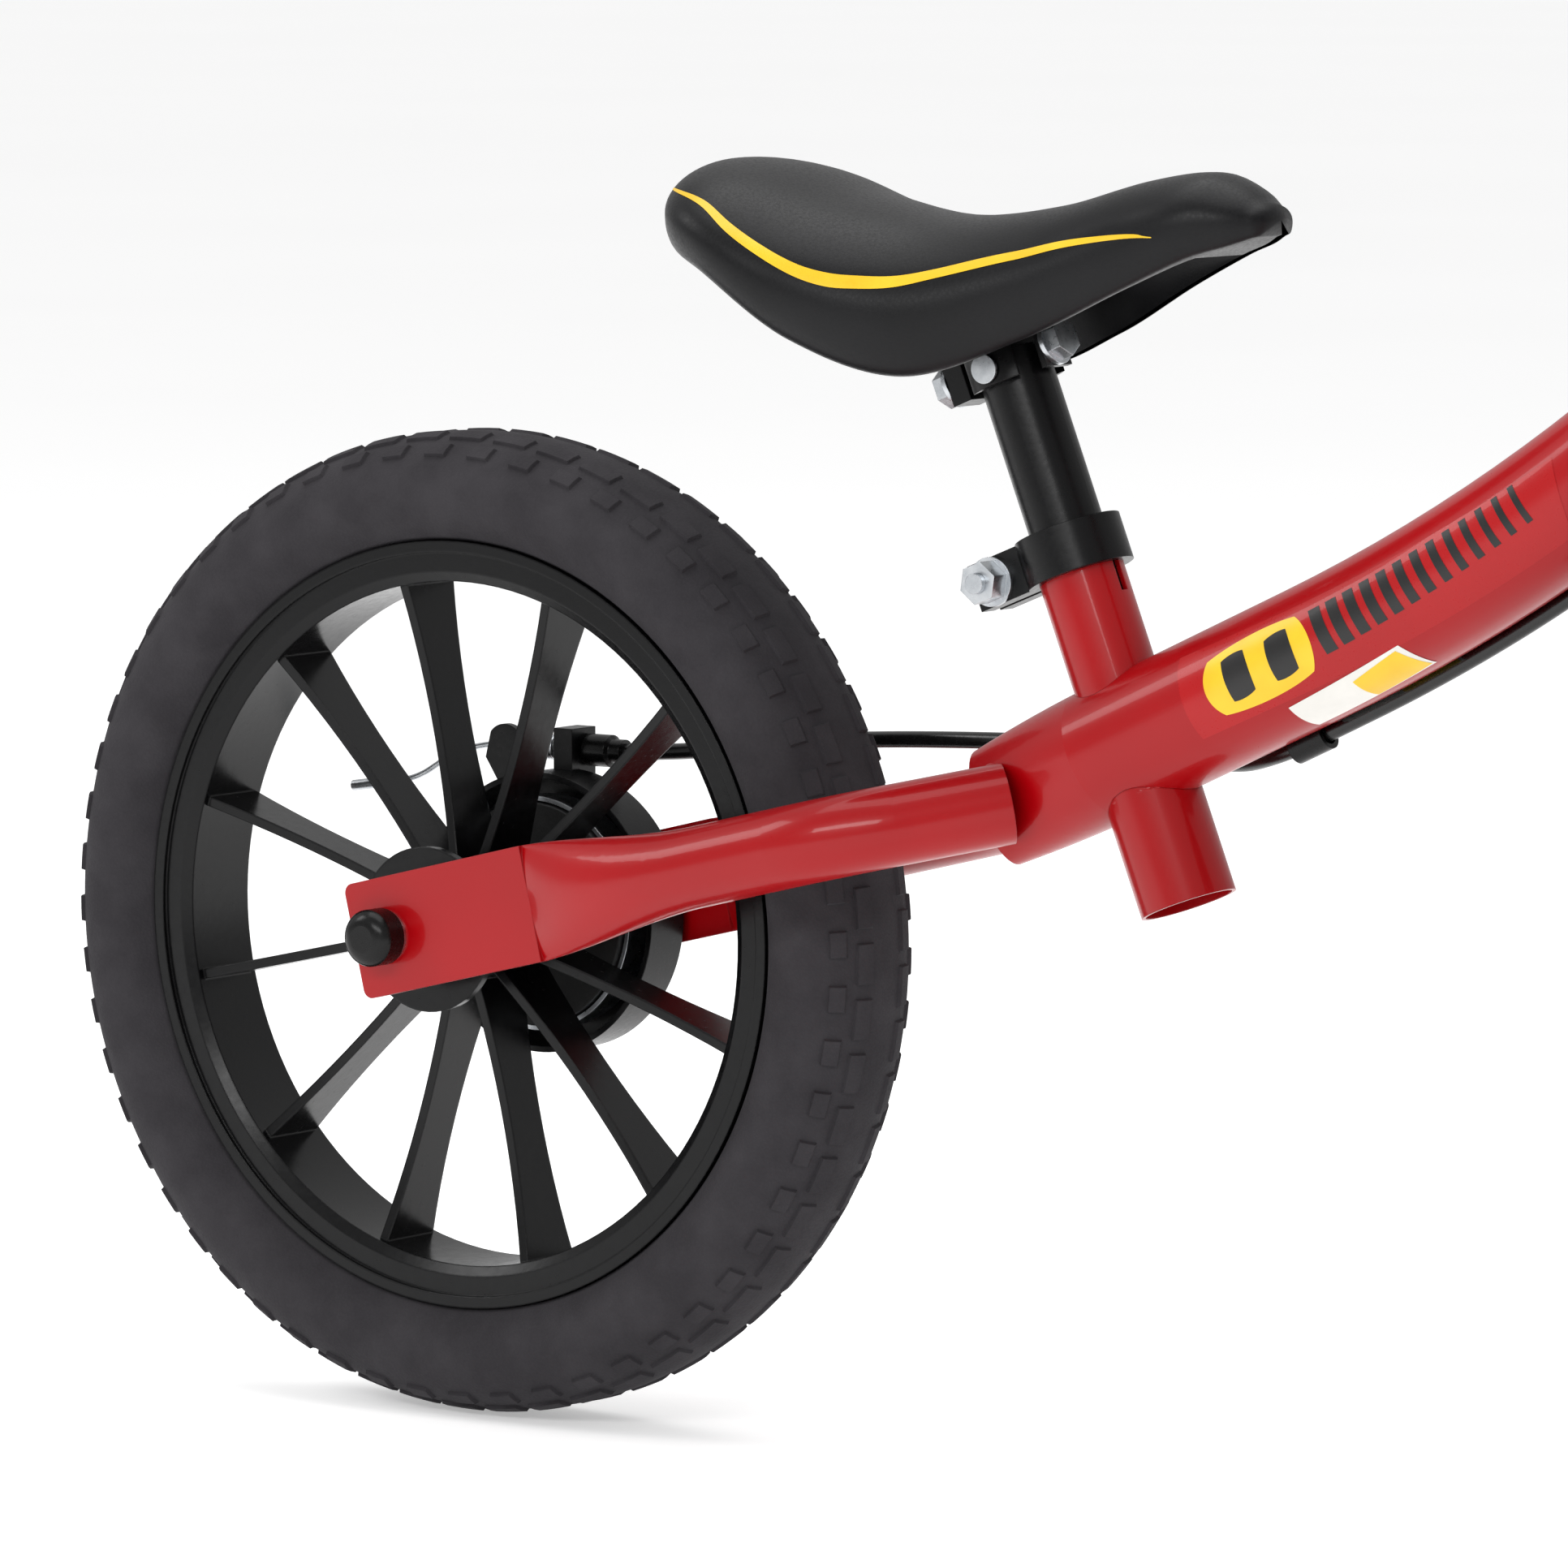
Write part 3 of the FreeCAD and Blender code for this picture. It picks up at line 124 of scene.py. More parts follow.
def cable_curve(name, points, radius=CABLE_RADIUS):
    data = bpy.data.curves.new(name, "CURVE")
    data.dimensions = "3D"
    data.bevel_depth = radius
    data.bevel_resolution = 6
    data.resolution_u = 16
    data.use_fill_caps = True
    spline = data.splines.new("NURBS")
    spline.points.add(len(points) - 1)
    for point, place in zip(spline.points, points):
        point.co = (*place, 1)
    spline.order_u = 3
    spline.use_endpoint_u = True
    piece = bpy.data.objects.new(name, data)
    bpy.context.scene.collection.objects.link(piece)
    return piece


def cable_line(piece):
    """The points that the cable's middle follows."""
    radius, piece.data.bevel_depth = piece.data.bevel_depth, 0
    bpy.context.view_layer.update()
    line = bpy.data.meshes.new_from_object(piece)
    piece.data.bevel_depth = radius
    bpy.context.view_layer.update()
    places = [vertex.co.copy() for vertex in line.vertices]
    bpy.data.meshes.remove(line)
    return places


def as_mesh(piece):
    bpy.ops.object.select_all(action="DESELECT")
    piece.select_set(True)
    bpy.context.view_layer.objects.active = piece
    bpy.ops.object.convert(target="MESH")
    return bpy.context.view_layer.objects.active


def length_of(line):
    return sum((b - a).length for a, b in zip(line, line[1:]))


rear_cable = cable_curve("rear_cable", REAR_CABLE)
rear_line = cable_line(rear_cable)
rear_cable = as_mesh(rear_cable)
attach(rear_cable, "frame")
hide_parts("brake_cable_rear")
cable_pieces = [rear_cable]
for name, points, bodies in (("front_cable_low", FORK_CABLE, ("frame", "fork")),
                             ("front_cable_middle", STEM_CABLE, ("fork", "stem")),
                             ("front_cable_high", BAR_CABLE, ("stem", "handlebar"))):
    stretch = cable_curve(name, points)
    line = cable_line(stretch)
    stretch = as_mesh(stretch)
    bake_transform(stretch)
    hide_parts("brake_cable_front")
    cable_pieces.append(stretch)
    print(name, round(length_of(line) * 1000), "mm")

# %% [markdown]
# ## Materials
# Every finish is built the same way: two close colours mixed by a cloudy noise, as no real coating
# is perfectly even, a roughness that wanders a little, and a bump at the size of the real grain.
# Solids have sharp edges, so a Bevel node rounds how their edges catch the light.
# %% Helpers for node materials
def colour(code):
    """An sRGB hex colour as linear numbers."""
    parts = [int(code[i:i + 2], 16) / 255 for i in (0, 2, 4)]
    return (*[v / 12.92 if v <= 0.04045 else ((v + 0.055) / 1.055) ** 2.4 for v in parts], 1)


def add(tree, kind, links=None, **settings):
    """Add one node, set its values and link its inputs."""
    made = tree.nodes.new(kind)
    for key, value in settings.items():
        if key in made.inputs:
            made.inputs[key].default_value = value
        else:
            setattr(made, key, value)
    for key, source in (links or {}).items():
        tree.links.new(source, made.inputs[key])
    return made


CLOUD_DETAIL, CLOUD_EDGES, BUMP_STRENGTH, ROUGHNESS_SPREAD = 4.0, (0.35, 0.68), 0.6, 0.08


def finish_material(name, main, second, grain, bump, roughness, cloud=45.0, edge=0.35,
                    cells=False, **shader):
    """A material whose grain and cloud sizes, bump height and edge rounding are in millimetres."""
    material = bpy.data.materials.new(name)
    material.use_nodes = True
    tree = material.node_tree
    tree.nodes.clear()
    where = add(tree, "ShaderNodeTexCoord")
    clouds = add(tree, "ShaderNodeTexNoise", {"Vector": where.outputs["Object"]},
                 Scale=1 / (cloud * MM), Detail=CLOUD_DETAIL)
    fine = add(tree, "ShaderNodeTexVoronoi" if cells else "ShaderNodeTexNoise",
               {"Vector": where.outputs["Object"]}, Scale=1 / (grain * MM))
    mixed = add(tree, "ShaderNodeValToRGB", {"Fac": clouds.outputs[0]})
    for element, place, code in zip(mixed.color_ramp.elements, CLOUD_EDGES, (main, second)):
        element.position = place
        element.color = colour(code)
    dull = add(tree, "ShaderNodeMapRange", {"Value": fine.outputs[0]})
    dull.inputs["To Min"].default_value = max(roughness - ROUGHNESS_SPREAD, 0.02)
    dull.inputs["To Max"].default_value = min(roughness + ROUGHNESS_SPREAD, 1)
    soft = add(tree, "ShaderNodeBevel", samples=4, Radius=edge * MM)
    relief = add(tree, "ShaderNodeBump", {"Height": fine.outputs[0], "Normal": soft.outputs[0]},
                 Strength=BUMP_STRENGTH, Distance=bump * MM)
    surface = add(tree, "ShaderNodeBsdfPrincipled",
                  {"Base Color": mixed.outputs[0], "Roughness": dull.outputs[0],
                   "Normal": relief.outputs[0]}, **shader)
    add(tree, "ShaderNodeOutputMaterial", {"Surface": surface.outputs[0]})
    return material


# %% [markdown]
# The frame is steel tube under a candy enamel: a red, nearly transparent coat over a bright base,
# with a clear gloss on top. Here it is a deep red with a thin clear coat. The blacks and the red
# reflect less than usual, because the room is all pale and a studio's dark parts are missing.
# Steel screws are zinc plated, a
# blue-white metal with a faint mottle. Moulded plastic copies the mould's polish.
# %% The finishes, one to each slot
FINISHES = {
    "frame_paint": finish_material(  # candy enamel: deep red under a thin, hard clear coat
        "candy_enamel_on_steel", "920005", "A00008", 1.2, 0.01, 0.32, cloud=120, edge=0.6,
        **{"Specular IOR Level": 0.2, "Coat Weight": 0.3, "Coat Roughness": 0.08}),
    "black_paint": finish_material(  # gloss powder coat: faint orange peel
        "black_powder_coat", "050506", "09090A", 1.6, 0.03, 0.30, edge=0.5,
        **{"Specular IOR Level": 0.22}),
    "tyre_foam": finish_material(  # EVA foam: matt, dark grey, with fine open pores
        "eva_foam", "2E2C2F", "363437", 0.9, 0.12, 0.85, cloud=14, edge=0.4, cells=True,
        **{"IOR": 1.45, "Specular IOR Level": 0.2}),
    "wheel_plastic": finish_material(  # glass-filled nylon from a polished mould
        "moulded_nylon", "040405", "080809", 2.4, 0.03, 0.24, edge=0.9, **{"Specular IOR Level": 0.22}),
    "zinc_steel": finish_material(  # bright zinc plate: slightly mottled, blue-white
        "zinc_plated_steel", "B4B8BC", "CACDD0", 0.8, 0.015, 0.30, cloud=4, edge=0.35,
        **{"Metallic": 1.0}),
    "bearing_steel": finish_material(  # ground chrome steel
        "ground_bearing_steel", "9A9C9E", "B2B4B6", 0.5, 0.01, 0.20, cloud=3, edge=0.3,
        **{"Metallic": 1.0}),
    "yellow_zinc": finish_material(  # zinc plate with a yellow passivate, which shimmers
        "yellow_passivated_zinc", "C79A3A", "D9B668", 0.8, 0.02, 0.28, cloud=3, edge=0.35,
        **{"Metallic": 1.0}),
    "grip_rubber": finish_material(  # soft moulded rubber: dull
        "moulded_rubber", "0B0B0C", "131314", 0.7, 0.05, 0.62, cloud=20, edge=0.5),
    "saddle_skin": finish_material(  # integral-skin polyurethane with a fine leather grain
        "polyurethane_skin", "0B0B0D", "101012", 0.9, 0.03, 0.40, cloud=30, edge=0.5, cells=True,
        **{"Specular IOR Level": 0.22}),
    "black_plastic": finish_material(  # injection-moulded polypropylene, gloss
        "moulded_polypropylene", "050505", "0A0A0A", 1.4, 0.02, 0.26, edge=0.4,
        **{"Specular IOR Level": 0.25}),
    "cast_drum": finish_material(  # cast iron, painted black: coarse skin
        "cast_iron", "161616", "222222", 0.8, 0.12, 0.55, cloud=9, edge=0.6, **{"Metallic": 0.3}),
    "cable_jacket": finish_material(  # PVC jacket: smooth, faintly drawn lengthways
        "pvc_jacket", "050505", "0B0B0B", 1.5, 0.02, 0.25, edge=0.2),
    "yellow_print": finish_material(  # screen-printed vinyl film
        "yellow_vinyl_film", "E3B512", "EDC422", 0.6, 0.004, 0.33, cloud=16, edge=0.05),
    "black_print": finish_material(
        # screen-printed vinyl film, like the other prints
        "black_vinyl_film", "0B0A0A", "151313", 0.6, 0.004, 0.35, cloud=16, edge=0.05),
    "red_film": finish_material(  # clear red film: a shade lighter than the enamel
        "red_vinyl_film", "A00308", "AC060C", 0.9, 0.006, 0.30, cloud=60, edge=0.05,
        **{"Specular IOR Level": 0.25, "Coat Weight": 0.25}),
    "white_print": finish_material(
        "white_vinyl_film", "DCDAD4", "E8E6E0", 0.6, 0.004, 0.36, cloud=12, edge=0.05),
}


def coat(piece, slot):
    piece.data.materials.clear()
    piece.data.materials.append(FINISHES[slot])
    return piece


SLOT_OF = {part["node"]: part["material_slot"] for part in frame["record"]["subparts"]}
for label, solid in frame["nodes"].items():
    coat(solid, SLOT_OF[label])
for piece in cable_pieces:
    coat(piece, "cable_jacket")
print(len(FINISHES), "finishes on", len(SLOT_OF), "solids")

# %% [markdown]
# ## Helpers for modelling
# Each new piece starts as a primitive and is shaped in edit mode. Everything is deselected first,
# and faces are selected in code by their place.
# %% Edit-mode helpers
def fresh(add_primitive, name, **settings):
    bpy.ops.object.select_all(action="DESELECT")
    add_primitive(**settings)
    piece = bpy.context.object
    piece.name = piece.data.name = name
    bpy.ops.object.transform_apply(location=True, rotation=True, scale=True)
    return piece


def edit(piece, *steps, pick=None, mode="FACE"):
    """Run edit-mode operators on the picked faces, or on everything."""
    bpy.ops.object.select_all(action="DESELECT")
    piece.select_set(True)
    bpy.context.view_layer.objects.active = piece
    bpy.ops.object.mode_set(mode="EDIT")
    bpy.ops.mesh.select_mode(type=mode)
    bpy.ops.mesh.select_all(action="SELECT" if pick is None else "DESELECT")
    bpy.ops.object.mode_set(mode="OBJECT")
    if pick is not None:
        for face in piece.data.polygons:
            face.select = pick(face)
    bpy.ops.object.mode_set(mode="EDIT")
    for step in steps:
        step()
    bpy.ops.object.mode_set(mode="OBJECT")
    return piece


def placed(piece, place):
    """Move each vertex to where a function puts it, as with a sculpting brush."""
    for vertex in piece.data.vertices:
        vertex.co = place(vertex.co.copy())
    piece.data.update()
    piece.data.update_tag()
    return piece


def weld_doubles(piece, gap=1e-5):
    return edit(piece, lambda: bpy.ops.mesh.remove_doubles(threshold=gap),
                lambda: bpy.ops.mesh.normals_make_consistent(inside=False))


def smooth(piece, angle=40):
    bpy.ops.object.select_all(action="DESELECT")
    piece.select_set(True)
    bpy.context.view_layer.objects.active = piece
    bpy.ops.object.shade_smooth_by_angle(angle=radians(angle))
    return piece


def settle(piece, body, slot, *nodes):
    """Give a finished piece its finish, the body it rides on and the solids it stands for."""
    coat(piece, slot)
    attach(piece, body)
    if nodes:
        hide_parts(*nodes)
    print(piece.name, len(piece.data.polygons), "faces on", body)
    return piece


# %% [markdown]
# ## The tyres
# A puncture-proof tyre is one moulding of EVA foam. Four rows of small knobs run round it. They
# could be separate pieces, but on the real tyre they grow out of the skin, so a torus is squeezed
# to the tyre's section and chosen faces are inset and raised in one operation.
# %% Make the knobbed tyre once and copy it
TURNS, AROUND = 224, 48
SECTION_WIDE, SECTION_DEEP, SECTION_RADIUS, BEAD_RADIUS = 25 * MM, 18 * MM, 131 * MM, 116.5 * MM
KNOB_ROWS = {(2, 3): (0, 3), (44, 45): (2, 3), (5, 6): (2, 2), (41, 42): (0, 2)}
KNOB_STEP, KNOB_RISE, KNOB_INSET = 4, 1.0 * MM, 0.35 * MM

tyre = fresh(bpy.ops.mesh.primitive_torus_add, "rear_knobbed_tyre", major_segments=TURNS,
             minor_segments=AROUND, major_radius=SECTION_RADIUS, minor_radius=SECTION_DEEP)


def is_knob(face):
    major, minor = divmod(face.index, AROUND)
    return any(minor in rows and (major + first) % KNOB_STEP < count
               for rows, (first, count) in KNOB_ROWS.items())


edit(tyre, lambda: bpy.ops.mesh.inset(thickness=KNOB_INSET, depth=KNOB_RISE), pick=is_knob)


def squeeze(point):
    """Stand the ring up on its edge, widen its section and flatten it against the rim."""
    out = max(hypot(point.x, point.y), BEAD_RADIUS)
    turn = atan2(point.y, point.x)
    wide = point.z * SECTION_WIDE / SECTION_DEEP
    return Vector((out * cos(turn), wide, out * sin(turn)))


placed(tyre, squeeze)
edit(tyre, lambda: bpy.ops.mesh.normals_make_consistent(inside=False))
smooth(tyre, 32)
for name, axle, body, node_name in (("rear_knobbed_tyre", "rear_axle", "rear_wheel", "rear_tyre"),
                                    ("front_knobbed_tyre", "front_axle", "front_wheel", "front_tyre")):
    if body == "front_wheel":
        piece = tyre.copy()
        piece.data = spare_mesh
        bpy.context.scene.collection.objects.link(piece)
    else:
        piece, spare_mesh = tyre, tyre.data.copy()
    piece.name = piece.data.name = name
    low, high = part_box(axle)
    piece.data.transform(Matrix.Translation(((low[0] + high[0]) / 2, 0, (low[2] + high[2]) / 2)))
    settle(piece, body, "tyre_foam", node_name)

# %% [markdown]
# ## The saddle
# The saddle is one moulding of skinned foam, hollow underneath: a crown that swells at the back,
# dips over the post and rises to the nose, with sides that tuck in to a thin rim. A grid is laid
# round its sections as one closed skin, outside and in, which keeps the shape exact. It has no
# stuffing and no sewn cover to swell, so this beats a cloth simulation.
# %% Shape the saddle
PIVOT = Vector((-81.4, 0, 324.9)) * MM
# ahead of the pivot, crown, rim, half width at the widest line; the ends close in a round
STATIONS = [(-105.5, 54, 40, 14), (-98, 58.5, 33.5, 38), (-80, 57, 26, 51), (-50, 48.5, 7.6, 51),
            (-15, 43.7, -1.8, 44), (20, 47.5, 9.3, 33.2), (50, 55.4, 24.2, 25), (71, 58, 34, 21),
            (82, 54.2, 37.6, 15.5), (88, 49.8, 40, 10.5)]
WIDEST, TUCK, RIM_WALL, CROWN_WALL = 0.4, 0.79, 4.2, 12.0
HOLLOW = (-94.0, 70.0)


def along(rows, at):
    """A smooth line through the rows' numbers: each column is a cubic between its stations."""
    place = [row[0] for row in rows]
    at = min(max(at, place[0]), place[-1])
    k = min(max(bisect_right(place, at) - 1, 0), len(rows) - 2)
    a, b = rows[k], rows[k + 1]
    before, after = rows[max(k - 1, 0)], rows[min(k + 2, len(rows) - 1)]
    span = b[0] - a[0]
    t = (at - a[0]) / span
    values = []
    for i in range(1, len(a)):
        lean_a = (b[i] - before[i]) / (b[0] - before[0]) * span
        lean_b = (after[i] - a[i]) / (after[0] - a[0]) * span
        values.append((2 * t ** 3 - 3 * t ** 2 + 1) * a[i] + (t ** 3 - 2 * t ** 2 + t) * lean_a
                      + (3 * t ** 2 - 2 * t ** 3) * b[i] + (t ** 3 - t ** 2) * lean_b)
    return values


def skin_point(ahead, angle, lift=0.0):
    """A point of the outer skin. The angle is 0 on the crown, 90 at the widest line and 180 at
    the rim, and below zero on the left."""
    crown, rim, half = along(STATIONS, ahead)
    widest, foot = rim + (crown - rim) * WIDEST, half * TUCK
    turn = radians(abs(angle))
    if turn <= pi / 2:
        side, up = half * sin(turn), widest + (crown - widest) * cos(turn)
        out_side, out_up = sin(turn), cos(turn)
    else:
        tuck = turn - pi / 2
        side, up = foot + (half - foot) * cos(tuck), widest - (widest - rim) * sin(tuck)
        out_side, out_up = cos(tuck), -sin(tuck) * 0.4
    side, up = side + out_side * lift, up + out_up * lift
    return PIVOT + Vector((ahead, -side if angle >= 0 else side, up)) * MM


def hollow_point(ahead, share):
    """A point of the hollow: share runs from -1 at the left rim over the roof to 1 at the right."""
    crown, rim, half = along(STATIONS, ahead)
    inside = max(0.0, min(1.0, (ahead - HOLLOW[0]) / 24, (HOLLOW[1] - ahead) / 30))
    inside = sqrt(inside * (2 - inside))
    foot = half * TUCK - RIM_WALL
    turn = share * pi / 2
    up = rim + (crown - CROWN_WALL - rim) * cos(turn) * inside
    return PIVOT + Vector((ahead, -foot * sin(turn), up)) * MM


LENGTHS, RING, OUTSIDE = 96, 96, 0.62
NOSE_ROUND, TAIL_ROUND = 4.0, 5.0
saddle = fresh(bpy.ops.mesh.primitive_grid_add, "moulded_saddle", x_subdivisions=LENGTHS,
               y_subdivisions=RING, size=2)


def wrap(point):
    u, v = (point.x + 1) / 2, (point.y + 1) / 2
    first, last = STATIONS[0][0], STATIONS[-1][0]
    ahead = first - TAIL_ROUND + u * (last - first + NOSE_ROUND + TAIL_ROUND)
    held = min(max(ahead, first), last)
    if v <= OUTSIDE:
        place = skin_point(held, (v / OUTSIDE * 2 - 1) * 180)
    else:
        place = hollow_point(held, 1 - (v - OUTSIDE) / (1 - OUTSIDE) * 2)
    past = (ahead - last) / NOSE_ROUND if ahead > last else (first - ahead) / TAIL_ROUND
    if past > 0:
        crown, rim, _ = along(STATIONS, held)
        middle = PIVOT + Vector((held, 0, (crown + rim) / 2)) * MM
        place = middle + (place - middle) * sqrt(max(1 - min(past, 1) ** 2, 0))
        place.x = PIVOT.x + ahead * MM
    return place


placed(saddle, wrap)
weld_doubles(saddle, 2e-5)
smooth(saddle, 60)
settle(saddle, "saddle", "saddle_skin", "saddle")

# %% [markdown]
# A yellow stripe is printed along each side. It is a narrow grid laid on the skin between an
# upper and a lower line, a tenth of a millimetre proud, so it follows every curve of the saddle.
# %% Print the stripes
# ahead of the pivot, then the skin angle of the upper and of the lower edge
STRIPE = [(-104.2, 63, 65), (-92, 60, 63), (-79, 59, 64), (-67.5, 64, 71), (-55, 67.5, 75),
          (-43.2, 70.5, 78.5), (-33.5, 70, 78.5), (-24.5, 67.8, 75.8), (-14, 66, 73.2), (-2.8, 63.5, 70),
          (9, 62, 69), (20.8, 63, 69.8), (32.8, 66.2, 72.4), (45.4, 75, 80), (57.9, 86, 89.5),
          (62.8, 96, 97.5)]
SIDES = (("right", 1), ("left", -1))
for side_name, sign in SIDES:
    stripe = fresh(bpy.ops.mesh.primitive_grid_add, f"saddle_stripe_{side_name}", x_subdivisions=120,
                   y_subdivisions=5, size=2)

    def lay(point):
        ahead = STRIPE[0][0] + (point.x + 1) / 2 * (STRIPE[-1][0] - STRIPE[0][0])
        upper, lower = along(STRIPE, ahead)
        across = (point.y + 1) / 2
        return skin_point(ahead, sign * (upper + (lower - upper) * across), 0.12)

    placed(stripe, lay)
    if sign > 0:
        edit(stripe, lambda: bpy.ops.mesh.flip_normals())
    smooth(stripe)
    settle(stripe, "saddle", "yellow_print")

# %% [markdown]
# ## The films on the main tube
# A red film wraps each side of the main tube. It carries a yellow badge with two plain bars, a
# row of slanted bars that get thinner and a small blank label. Each is a grid mapped to the tube's
# curved surface: one number runs along the tube, the other is the angle round it.
# %% The tube's surface and the films
TUBE_BASE, TUBE_SLOPE, TUBE_RADIUS = Vector((-38.5, 0, 218.2)), radians(24.8), 20
TUBE_STRAIGHT, TUBE_CURVE = 68, 600
AHEAD = Vector((cos(TUBE_SLOPE), 0, sin(TUBE_SLOPE)))
UP = Vector((-sin(TUBE_SLOPE), 0, cos(TUBE_SLOPE)))


def tube_point(distance, angle, sign=1, lift=0.15):
    """On the main tube: the angle is 0 at the top, 90 at the side and 180 underneath."""
    reach = TUBE_RADIUS + lift
    side, below = -sign * reach * sin(radians(angle)), -reach * cos(radians(angle))
    if distance <= TUBE_STRAIGHT:
        place = TUBE_BASE + AHEAD * distance - UP * below
    else:
        turn = (distance - TUBE_STRAIGHT) / TUBE_CURVE
        place = (TUBE_BASE + AHEAD * (TUBE_STRAIGHT + (TUBE_CURVE + below) * sin(turn))
                 + UP * (TUBE_CURVE - (TUBE_CURVE + below) * cos(turn)))
    return (place + Vector((0, side, 0))) * MM


def film(name, slot, sign, corners, lift, cells=(16, 12), round_by=0.0):
    """A patch between four (distance, angle) corners: start top, start bottom, end top, end
    bottom. round_by rounds its corners, from 0, square, to 1, an ellipse."""
    piece = fresh(bpy.ops.mesh.primitive_grid_add, name, x_subdivisions=cells[0],
                  y_subdivisions=cells[1], size=2)

    def lay(point):
        x, y = point.x, point.y
        x, y = (x * (1 - round_by + round_by * sqrt(1 - y * y / 2)),
                y * (1 - round_by + round_by * sqrt(1 - x * x / 2)))
        u, v = (x + 1) / 2, (y + 1) / 2
        start = [a + (b - a) * v for a, b in zip(corners[0], corners[1])]
        end = [a + (b - a) * v for a, b in zip(corners[2], corners[3])]
        distance, angle = [a + (b - a) * u for a, b in zip(start, end)]
        return tube_point(distance, angle, sign, lift)

    placed(piece, lay)
    if sign > 0:
        edit(piece, lambda: bpy.ops.mesh.flip_normals())
    smooth(piece)
    return settle(piece, "frame", slot)


SLANTED_BARS, BAR_STEP, BAR_SLANT, BADGE_BAR_HALF = 13, 6.3, 1.5, 4.5
for side_name, sign in SIDES:
    film(f"red_film_{side_name}", "red_film", sign, [(33, 48), (32, 124), (177, 66), (169, 131)], 0.08,
         (72, 20), 0.04)
    film(f"badge_{side_name}", "yellow_print", sign, [(41, 62), (41, 118), (80, 58), (80, 117)], 0.16,
         (24, 20), 0.55)
    for spot_name, middle in (("rear", 53), ("front", 69)):
        film(f"badge_bar_{spot_name}_{side_name}", "black_print", sign,
             [(middle - BADGE_BAR_HALF, 70), (middle - BADGE_BAR_HALF, 108),
              (middle + BADGE_BAR_HALF, 68), (middle + BADGE_BAR_HALF, 106)], 0.22, (12, 14), 0.3)
    for k in range(SLANTED_BARS):
        at, half, foot = 84 + BAR_STEP * k, 2.1 - 0.085 * k, 105 - k * 0.4
        film(f"slanted_bar_{k + 1}_{side_name}", "black_print", sign,
             [(at - half, 64.5), (at - half + BAR_SLANT, foot),
              (at + half, 64.5), (at + half + BAR_SLANT, foot)], 0.18, (3, 10))
    film(f"label_{side_name}", "white_print", sign, [(62, 131), (63, 168), (104, 126), (107, 165)], 0.14,
         (18, 12), 0.06)
    film(f"label_end_{side_name}", "yellow_print", sign,
         [(84, 136), (85, 166), (102, 129), (106, 163)], 0.2, (12, 10), 0.1)

# %% [markdown]
# ## The welds
# Tubes are joined by a bead of weld metal, a row of overlapping ripples. The bead follows the line
# where the two tubes meet, so its path is read from the solids: the rim of one tube's end where it
# touches the other tube. A torus is then moved onto that path and its thickness is rippled. As
# laid, about half of each bead lies inside the tubes, and little of it shows.
# %% Find a joint's line and lay a bead on it
def solid_mesh(label):
    mesh = frame["nodes"][label].data
    return [v.co.copy() for v in mesh.vertices], [tuple(p.vertices) for p in mesh.polygons]


def meeting_line(label, other, axis, count=72, gap=0.5 * MM):
    """Where the rim of one tube meets the other, in order round the axis. The axis points away
    from the other tube, so that of the points at one angle the furthest along it is outside."""
    points, _ = solid_mesh(label)
    surface = BVHTree.FromPolygons(*solid_mesh(other))
    touching = [p for p in points if (surface.find_nearest(p)[3] or 0) < gap]
    middle = sum(touching, Vector()) / len(touching)
    axis = axis.normalized()
    across = axis.orthogonal().normalized()
    beside = axis.cross(across)
    bins = {}
    for p in touching:
        flat = Vector(((p - middle).dot(across), (p - middle).dot(beside)))
        key = int((atan2(flat.y, flat.x) + pi) / (2 * pi) * count) % count
        out = (p - middle).dot(axis) + flat.length
        if key not in bins or out > bins[key][0]:
            bins[key] = (out, p)
    line = [bins[key][1] for key in sorted(bins)]
    for _ in range(3):
        line = [(line[i - 1] + line[i] * 2 + line[(i + 1) % len(line)]) / 4 for i in range(len(line))]
    return line


BEAD_SEGMENTS, BEAD_AROUND, BEAD_MINOR, RIPPLE = 288, 10, 0.25, 4.2
THINNEST, SWELL = 0.86, 0.14  # the bead's thickness between ripples, and what a ripple adds


def weld_bead(name, line, thick):
    """A rippled bead along a closed line. Its radius and its ripple's length are in millimetres."""
    closed = line + [line[0]]
    total = sum((b - a).length for a, b in zip(closed, closed[1:]))
    ripples = max(round(total / (RIPPLE * MM)), 6)
    bead = fresh(bpy.ops.mesh.primitive_torus_add, name, major_segments=BEAD_SEGMENTS,
                 minor_segments=BEAD_AROUND, major_radius=1, minor_radius=BEAD_MINOR)
    middle = sum(line, Vector()) / len(line)

    def lay(point):
        turn = (atan2(point.y, point.x) / (2 * pi)) % 1
        at = turn * len(line)
        k, t = int(at) % len(line), at % 1
        place = line[k].lerp(line[(k + 1) % len(line)], t)
        heading = (line[(k + 2) % len(line)] - line[k - 1]).normalized()
        outward = (place - middle)
        outward = (outward - heading * outward.dot(heading)).normalized()
        other = heading.cross(outward)
        out, up = hypot(point.x, point.y) - 1, point.z
        size = thick * MM / BEAD_MINOR * (THINNEST + SWELL * abs(sin(turn * ripples * pi)))
        return place + (outward * out + other * up) * size

    placed(bead, lay)
    edit(bead, lambda: bpy.ops.mesh.normals_make_consistent(inside=False))
    smooth(bead, 60)
    return settle(bead, "frame", "frame_paint")


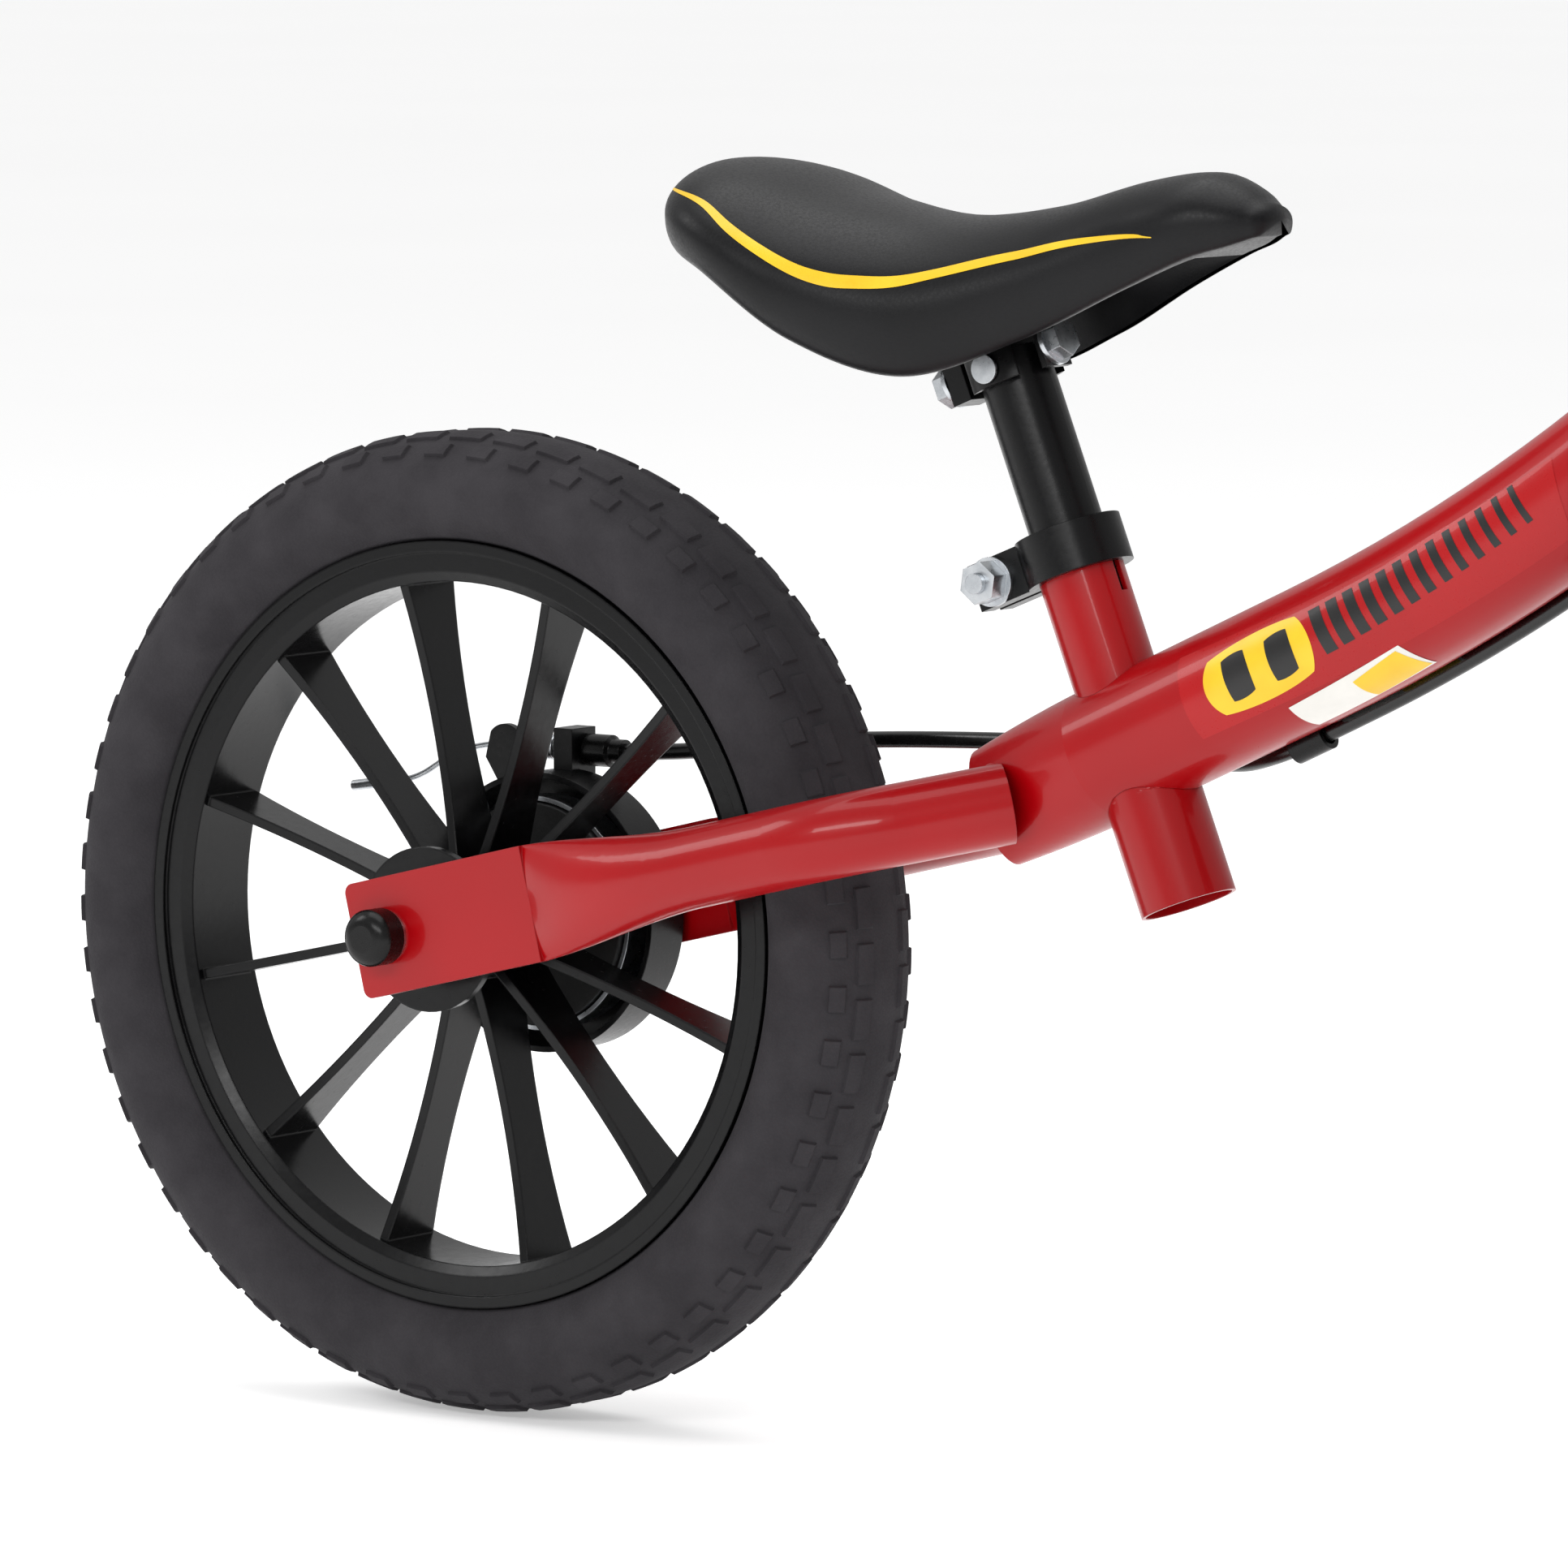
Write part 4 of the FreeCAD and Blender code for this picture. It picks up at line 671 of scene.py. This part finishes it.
SEAT_TILT = radians(21.9)
for name, label, other, axis, thick in (
        ("weld_seat_tube", "seat_tube", "main_tube", Vector((-sin(SEAT_TILT), 0, cos(SEAT_TILT))), 1.9),
        ("weld_stay_left", "chainstay_left", "main_tube", Vector((-1, 0.4, -0.3)), 1.9),
        ("weld_stay_right", "chainstay_right", "main_tube", Vector((-1, -0.4, -0.3)), 1.9),
        ("weld_head", "main_tube", "head_tube", -AHEAD, 2.1)):
    line = meeting_line(label, other, axis)
    weld_bead(name, line, thick)
    print(name, len(line), "points", [round(v, 3) for v in sum(line, Vector()) / len(line)])

# %% [markdown]
# ## The return spring
# The spring that opens the band brake is a coil of steel wire over the end of the brake cable. It
# is made as a round wire on a helix. The coil is on the frame at one end and on the brake arm at the
# other.
# %% Wind the spring
low, high = (Vector(corner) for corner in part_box("brake_return_spring"))
coil_middle, coil_radius = (low + high) / 2, (high.z - low.z) / 2
COILS, POINTS_A_TURN, WIRE = 7, 12, 0.55 * MM
coil = bpy.data.curves.new("return_spring", "CURVE")
coil.dimensions, coil.bevel_depth, coil.bevel_resolution = "3D", WIRE, 3
coil.use_fill_caps = True
winding = coil.splines.new("NURBS")
steps = COILS * POINTS_A_TURN
winding.points.add(steps)
for k, point in enumerate(winding.points):
    turn = k / POINTS_A_TURN * 2 * pi
    reach = coil_radius - WIRE
    point.co = (low.x + WIRE + (high.x - low.x - 2 * WIRE) * k / steps,
                coil_middle.y + reach * cos(turn), coil_middle.z + reach * sin(turn), 1)
winding.order_u = 3
winding.use_endpoint_u = True
spring = bpy.data.objects.new("return_spring", coil)
bpy.context.scene.collection.objects.link(spring)
spring = as_mesh(spring)
coat(spring, "zinc_steel")
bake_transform(spring)
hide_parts("brake_return_spring")
print("spring of", COILS, "coils")

# %% [markdown]
# ## Floor and light
# The bike stands on a plain pale floor under soft light. Large area lights give the paint and the
# plastic long, soft reflections. A pale world fills the shadows.
# %% Set the floor and the lights
floor = fresh(bpy.ops.mesh.primitive_circle_add, "floor", vertices=96, radius=30, fill_type="NGON",
              location=(0, 0, cad_box[0][2] - 0.0003))
edit(floor, lambda: bpy.ops.mesh.inset(thickness=20), pick=lambda face: True)
floor.data.materials.append(finish_material(  # matt white board with a little light of its own
    "pale_floor", "FAFAFA", "FCFCFC", 60, 0.01, 0.9, cloud=900, edge=0.1,
    **{"Emission Color": (1, 1, 1, 1), "Emission Strength": 0.36}))

world = bpy.data.worlds.new("pale_room")
bpy.context.scene.world = world
world.use_nodes = True
background = world.node_tree.nodes["Background"]
background.inputs["Color"].default_value = colour("FAFAFA")
background.inputs["Strength"].default_value = 0.62


def softbox(name, place, aim, size, power):
    lamp = bpy.data.objects.new(name, bpy.data.lights.new(name, "AREA"))
    bpy.context.scene.collection.objects.link(lamp)
    lamp.data.shape, lamp.data.size, lamp.data.size_y = "RECTANGLE", size[0], size[1]
    lamp.data.energy = power
    lamp.location = place
    lamp.rotation_euler = (Vector(aim) - Vector(place)).to_track_quat("-Z", "Y").to_euler()


softbox("softbox_side", (0.5, -2.6, 1.5), (-0.15, 0, 0.25), (2.2, 0.5), 30)
softbox("softbox_back", (-2.2, -1.2, 1.9), (-0.2, 0, 0.25), (0.8, 1.2), 14)
softbox("softbox_top", (-0.1, 0.3, 2.4), (-0.1, 0, 0.2), (2.4, 2.4), 34)
bpy.context.scene.view_settings.view_transform = "Standard"

# %% Update the scene
bpy.context.view_layer.update()
